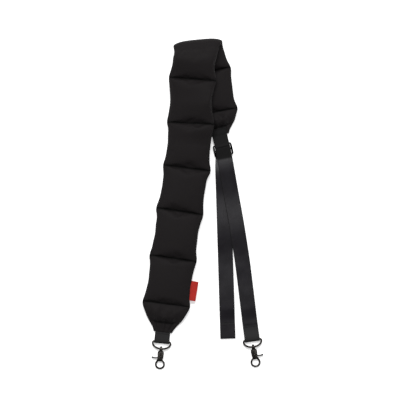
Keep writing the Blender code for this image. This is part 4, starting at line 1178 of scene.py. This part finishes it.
def buildLever(side, hand, seat):
    half, reach = hook["leverThickness"] / 2.0, hook["leverReach"]
    lever = rod(side + "Lever", hook["leverHub"] / 2.0, hook["leverThickness"], (0.0, 0.0, 0.0), wornMetal)
    rows = [(row["along"] * reach, hand * row["out"] * reach, row["width"] * half, row["thickness"] * half)
            for row in leverArm]
    thumb = [smoothRow(rows, step / 30.0) for step in range(31)]
    cutWith(lever, flatBar("thumb", thumb, wornMetal), "UNION")
    pivot = Vector((hook["pivot"], 0.0, 0.0))
    root = clawSpot(hook["gateRootDeg"], hand) - pivot
    narrow = hook["gateWidth"] * 0.53
    rows = [(0.0002, 0.0, narrow, half * 0.98), (root.x * 0.63, root.y * 0.38, narrow, half * 0.98)]
    for step in range(9):
        share = step / 8.0
        angleDeg = hook["gateRootDeg"] + (hook["gateEndDeg"] - hook["gateRootDeg"]) * share
        spot = clawSpot(angleDeg, hand) - pivot
        tall = half + (hook["clawWire"] * 0.47 - half) * float(smoothStep(share * 3.0))
        rows.append((spot.x, spot.y, hook["gateWidth"] / 2.0, tall))
    gate = [smoothRow(rows, step / 50.0) for step in range(51)]
    cutWith(lever, flatBar("gate", gate, wornMetal), "UNION")
    reachDisc = rod("reach", hook["gateReach"], hook["clawWire"] * 2.0, (0.0, 0.0, 0.0), wornMetal)
    cutWith(lever, reachDisc, "INTERSECT")   # trims the gate's end to the arc that it swings on
    cutWith(lever, rod("bore", hook["pin"] / 2.0 + hook["gap"], 0.01, (0.0, 0.0, 0.0), wornMetal))
    seat = seat @ Matrix.Translation(pivot)
    finishMetal(lever, seat, side + "_lever", "lever_metal", "lever_" + side, 0.00022)


buildSlide()
for side, hand in (("left", -1.0), ("right", 1.0)):   # the levers point apart
    seat = hookSeat(side)
    buildRing(side, fittings["ring" + side.capitalize() + "Deg"])
    buildEye(side, seat)
    buildHook(side, hand, seat)
    buildLever(side, hand, seat)
print("metal pieces made")


# Floor, light and camera

view = dict(widthSeen=0.679, centre=(0.0034, -0.0018), lens=200.0, sensor=36.0, world=0.20,
            floorSize=4.0, floorGap=0.0002, floorTone=(0.93, 0.93, 0.93), floorGlow=0.42)
lamps = [   # the key shines along the webbing, so that its waves show
    dict(name="key", place=(-0.2, 2.50, 3.70), size=(2.6, 1.3), power=188.0),
    dict(name="fillRight", place=(1.55, -0.25, 1.25), size=(1.4, 1.4), power=9.0),
    dict(name="fillLeft", place=(-1.55, -0.25, 1.25), size=(1.4, 1.4), power=9.0),
]


def buildFloor():
    mesh = bmesh.new()
    bmesh.ops.create_grid(mesh, x_segments=1, y_segments=1, size=view["floorSize"])
    bmesh.ops.translate(mesh, vec=(0.0, 0.0, -view["floorGap"]), verts=mesh.verts)
    paleFloor, tree, shader = newMaterial("paleFloor", 0.95)
    shader.inputs["Base Color"].default_value = (*view["floorTone"], 1.0)
    shader.inputs["Emission Color"].default_value = (1.0, 1.0, 1.0, 1.0)
    shader.inputs["Emission Strength"].default_value = view["floorGlow"]
    floor = addObject("floor", mesh, paleFloor)


def addLamp(lamp):
    light = bpy.data.lights.new(lamp["name"], "AREA")
    light.shape = "RECTANGLE"
    light.size, light.size_y = lamp["size"]
    light.energy = lamp["power"]
    holder = bpy.data.objects.new(lamp["name"], light)
    holder.location = lamp["place"]
    holder.rotation_euler = (-Vector(lamp["place"])).to_track_quat("-Z", "Y").to_euler()
    scene.collection.objects.link(holder)


def lightScene():
    world = bpy.data.worlds.new("studio")
    scene.world = world
    world.use_nodes = True
    background = world.node_tree.nodes["Background"]
    background.inputs["Color"].default_value = (1.0, 1.0, 1.0, 1.0)
    background.inputs["Strength"].default_value = view["world"]
    for lamp in lamps:
        addLamp(lamp)


def addCamera():   # straight above, as the photo was taken
    data = bpy.data.cameras.new("camera")
    data.lens = view["lens"]
    data.sensor_width = view["sensor"]
    distance = view["widthSeen"] / 2.0 / (data.sensor_width / 2.0 / data.lens)
    data.clip_end = distance * 4.0
    camera = bpy.data.objects.new("camera", data)
    camera.location = (*view["centre"], distance)
    scene.collection.objects.link(camera)
    scene.camera = camera


buildFloor()
lightScene()
addCamera()
scene.view_settings.view_transform = "Standard"
print("floor, light and camera made")
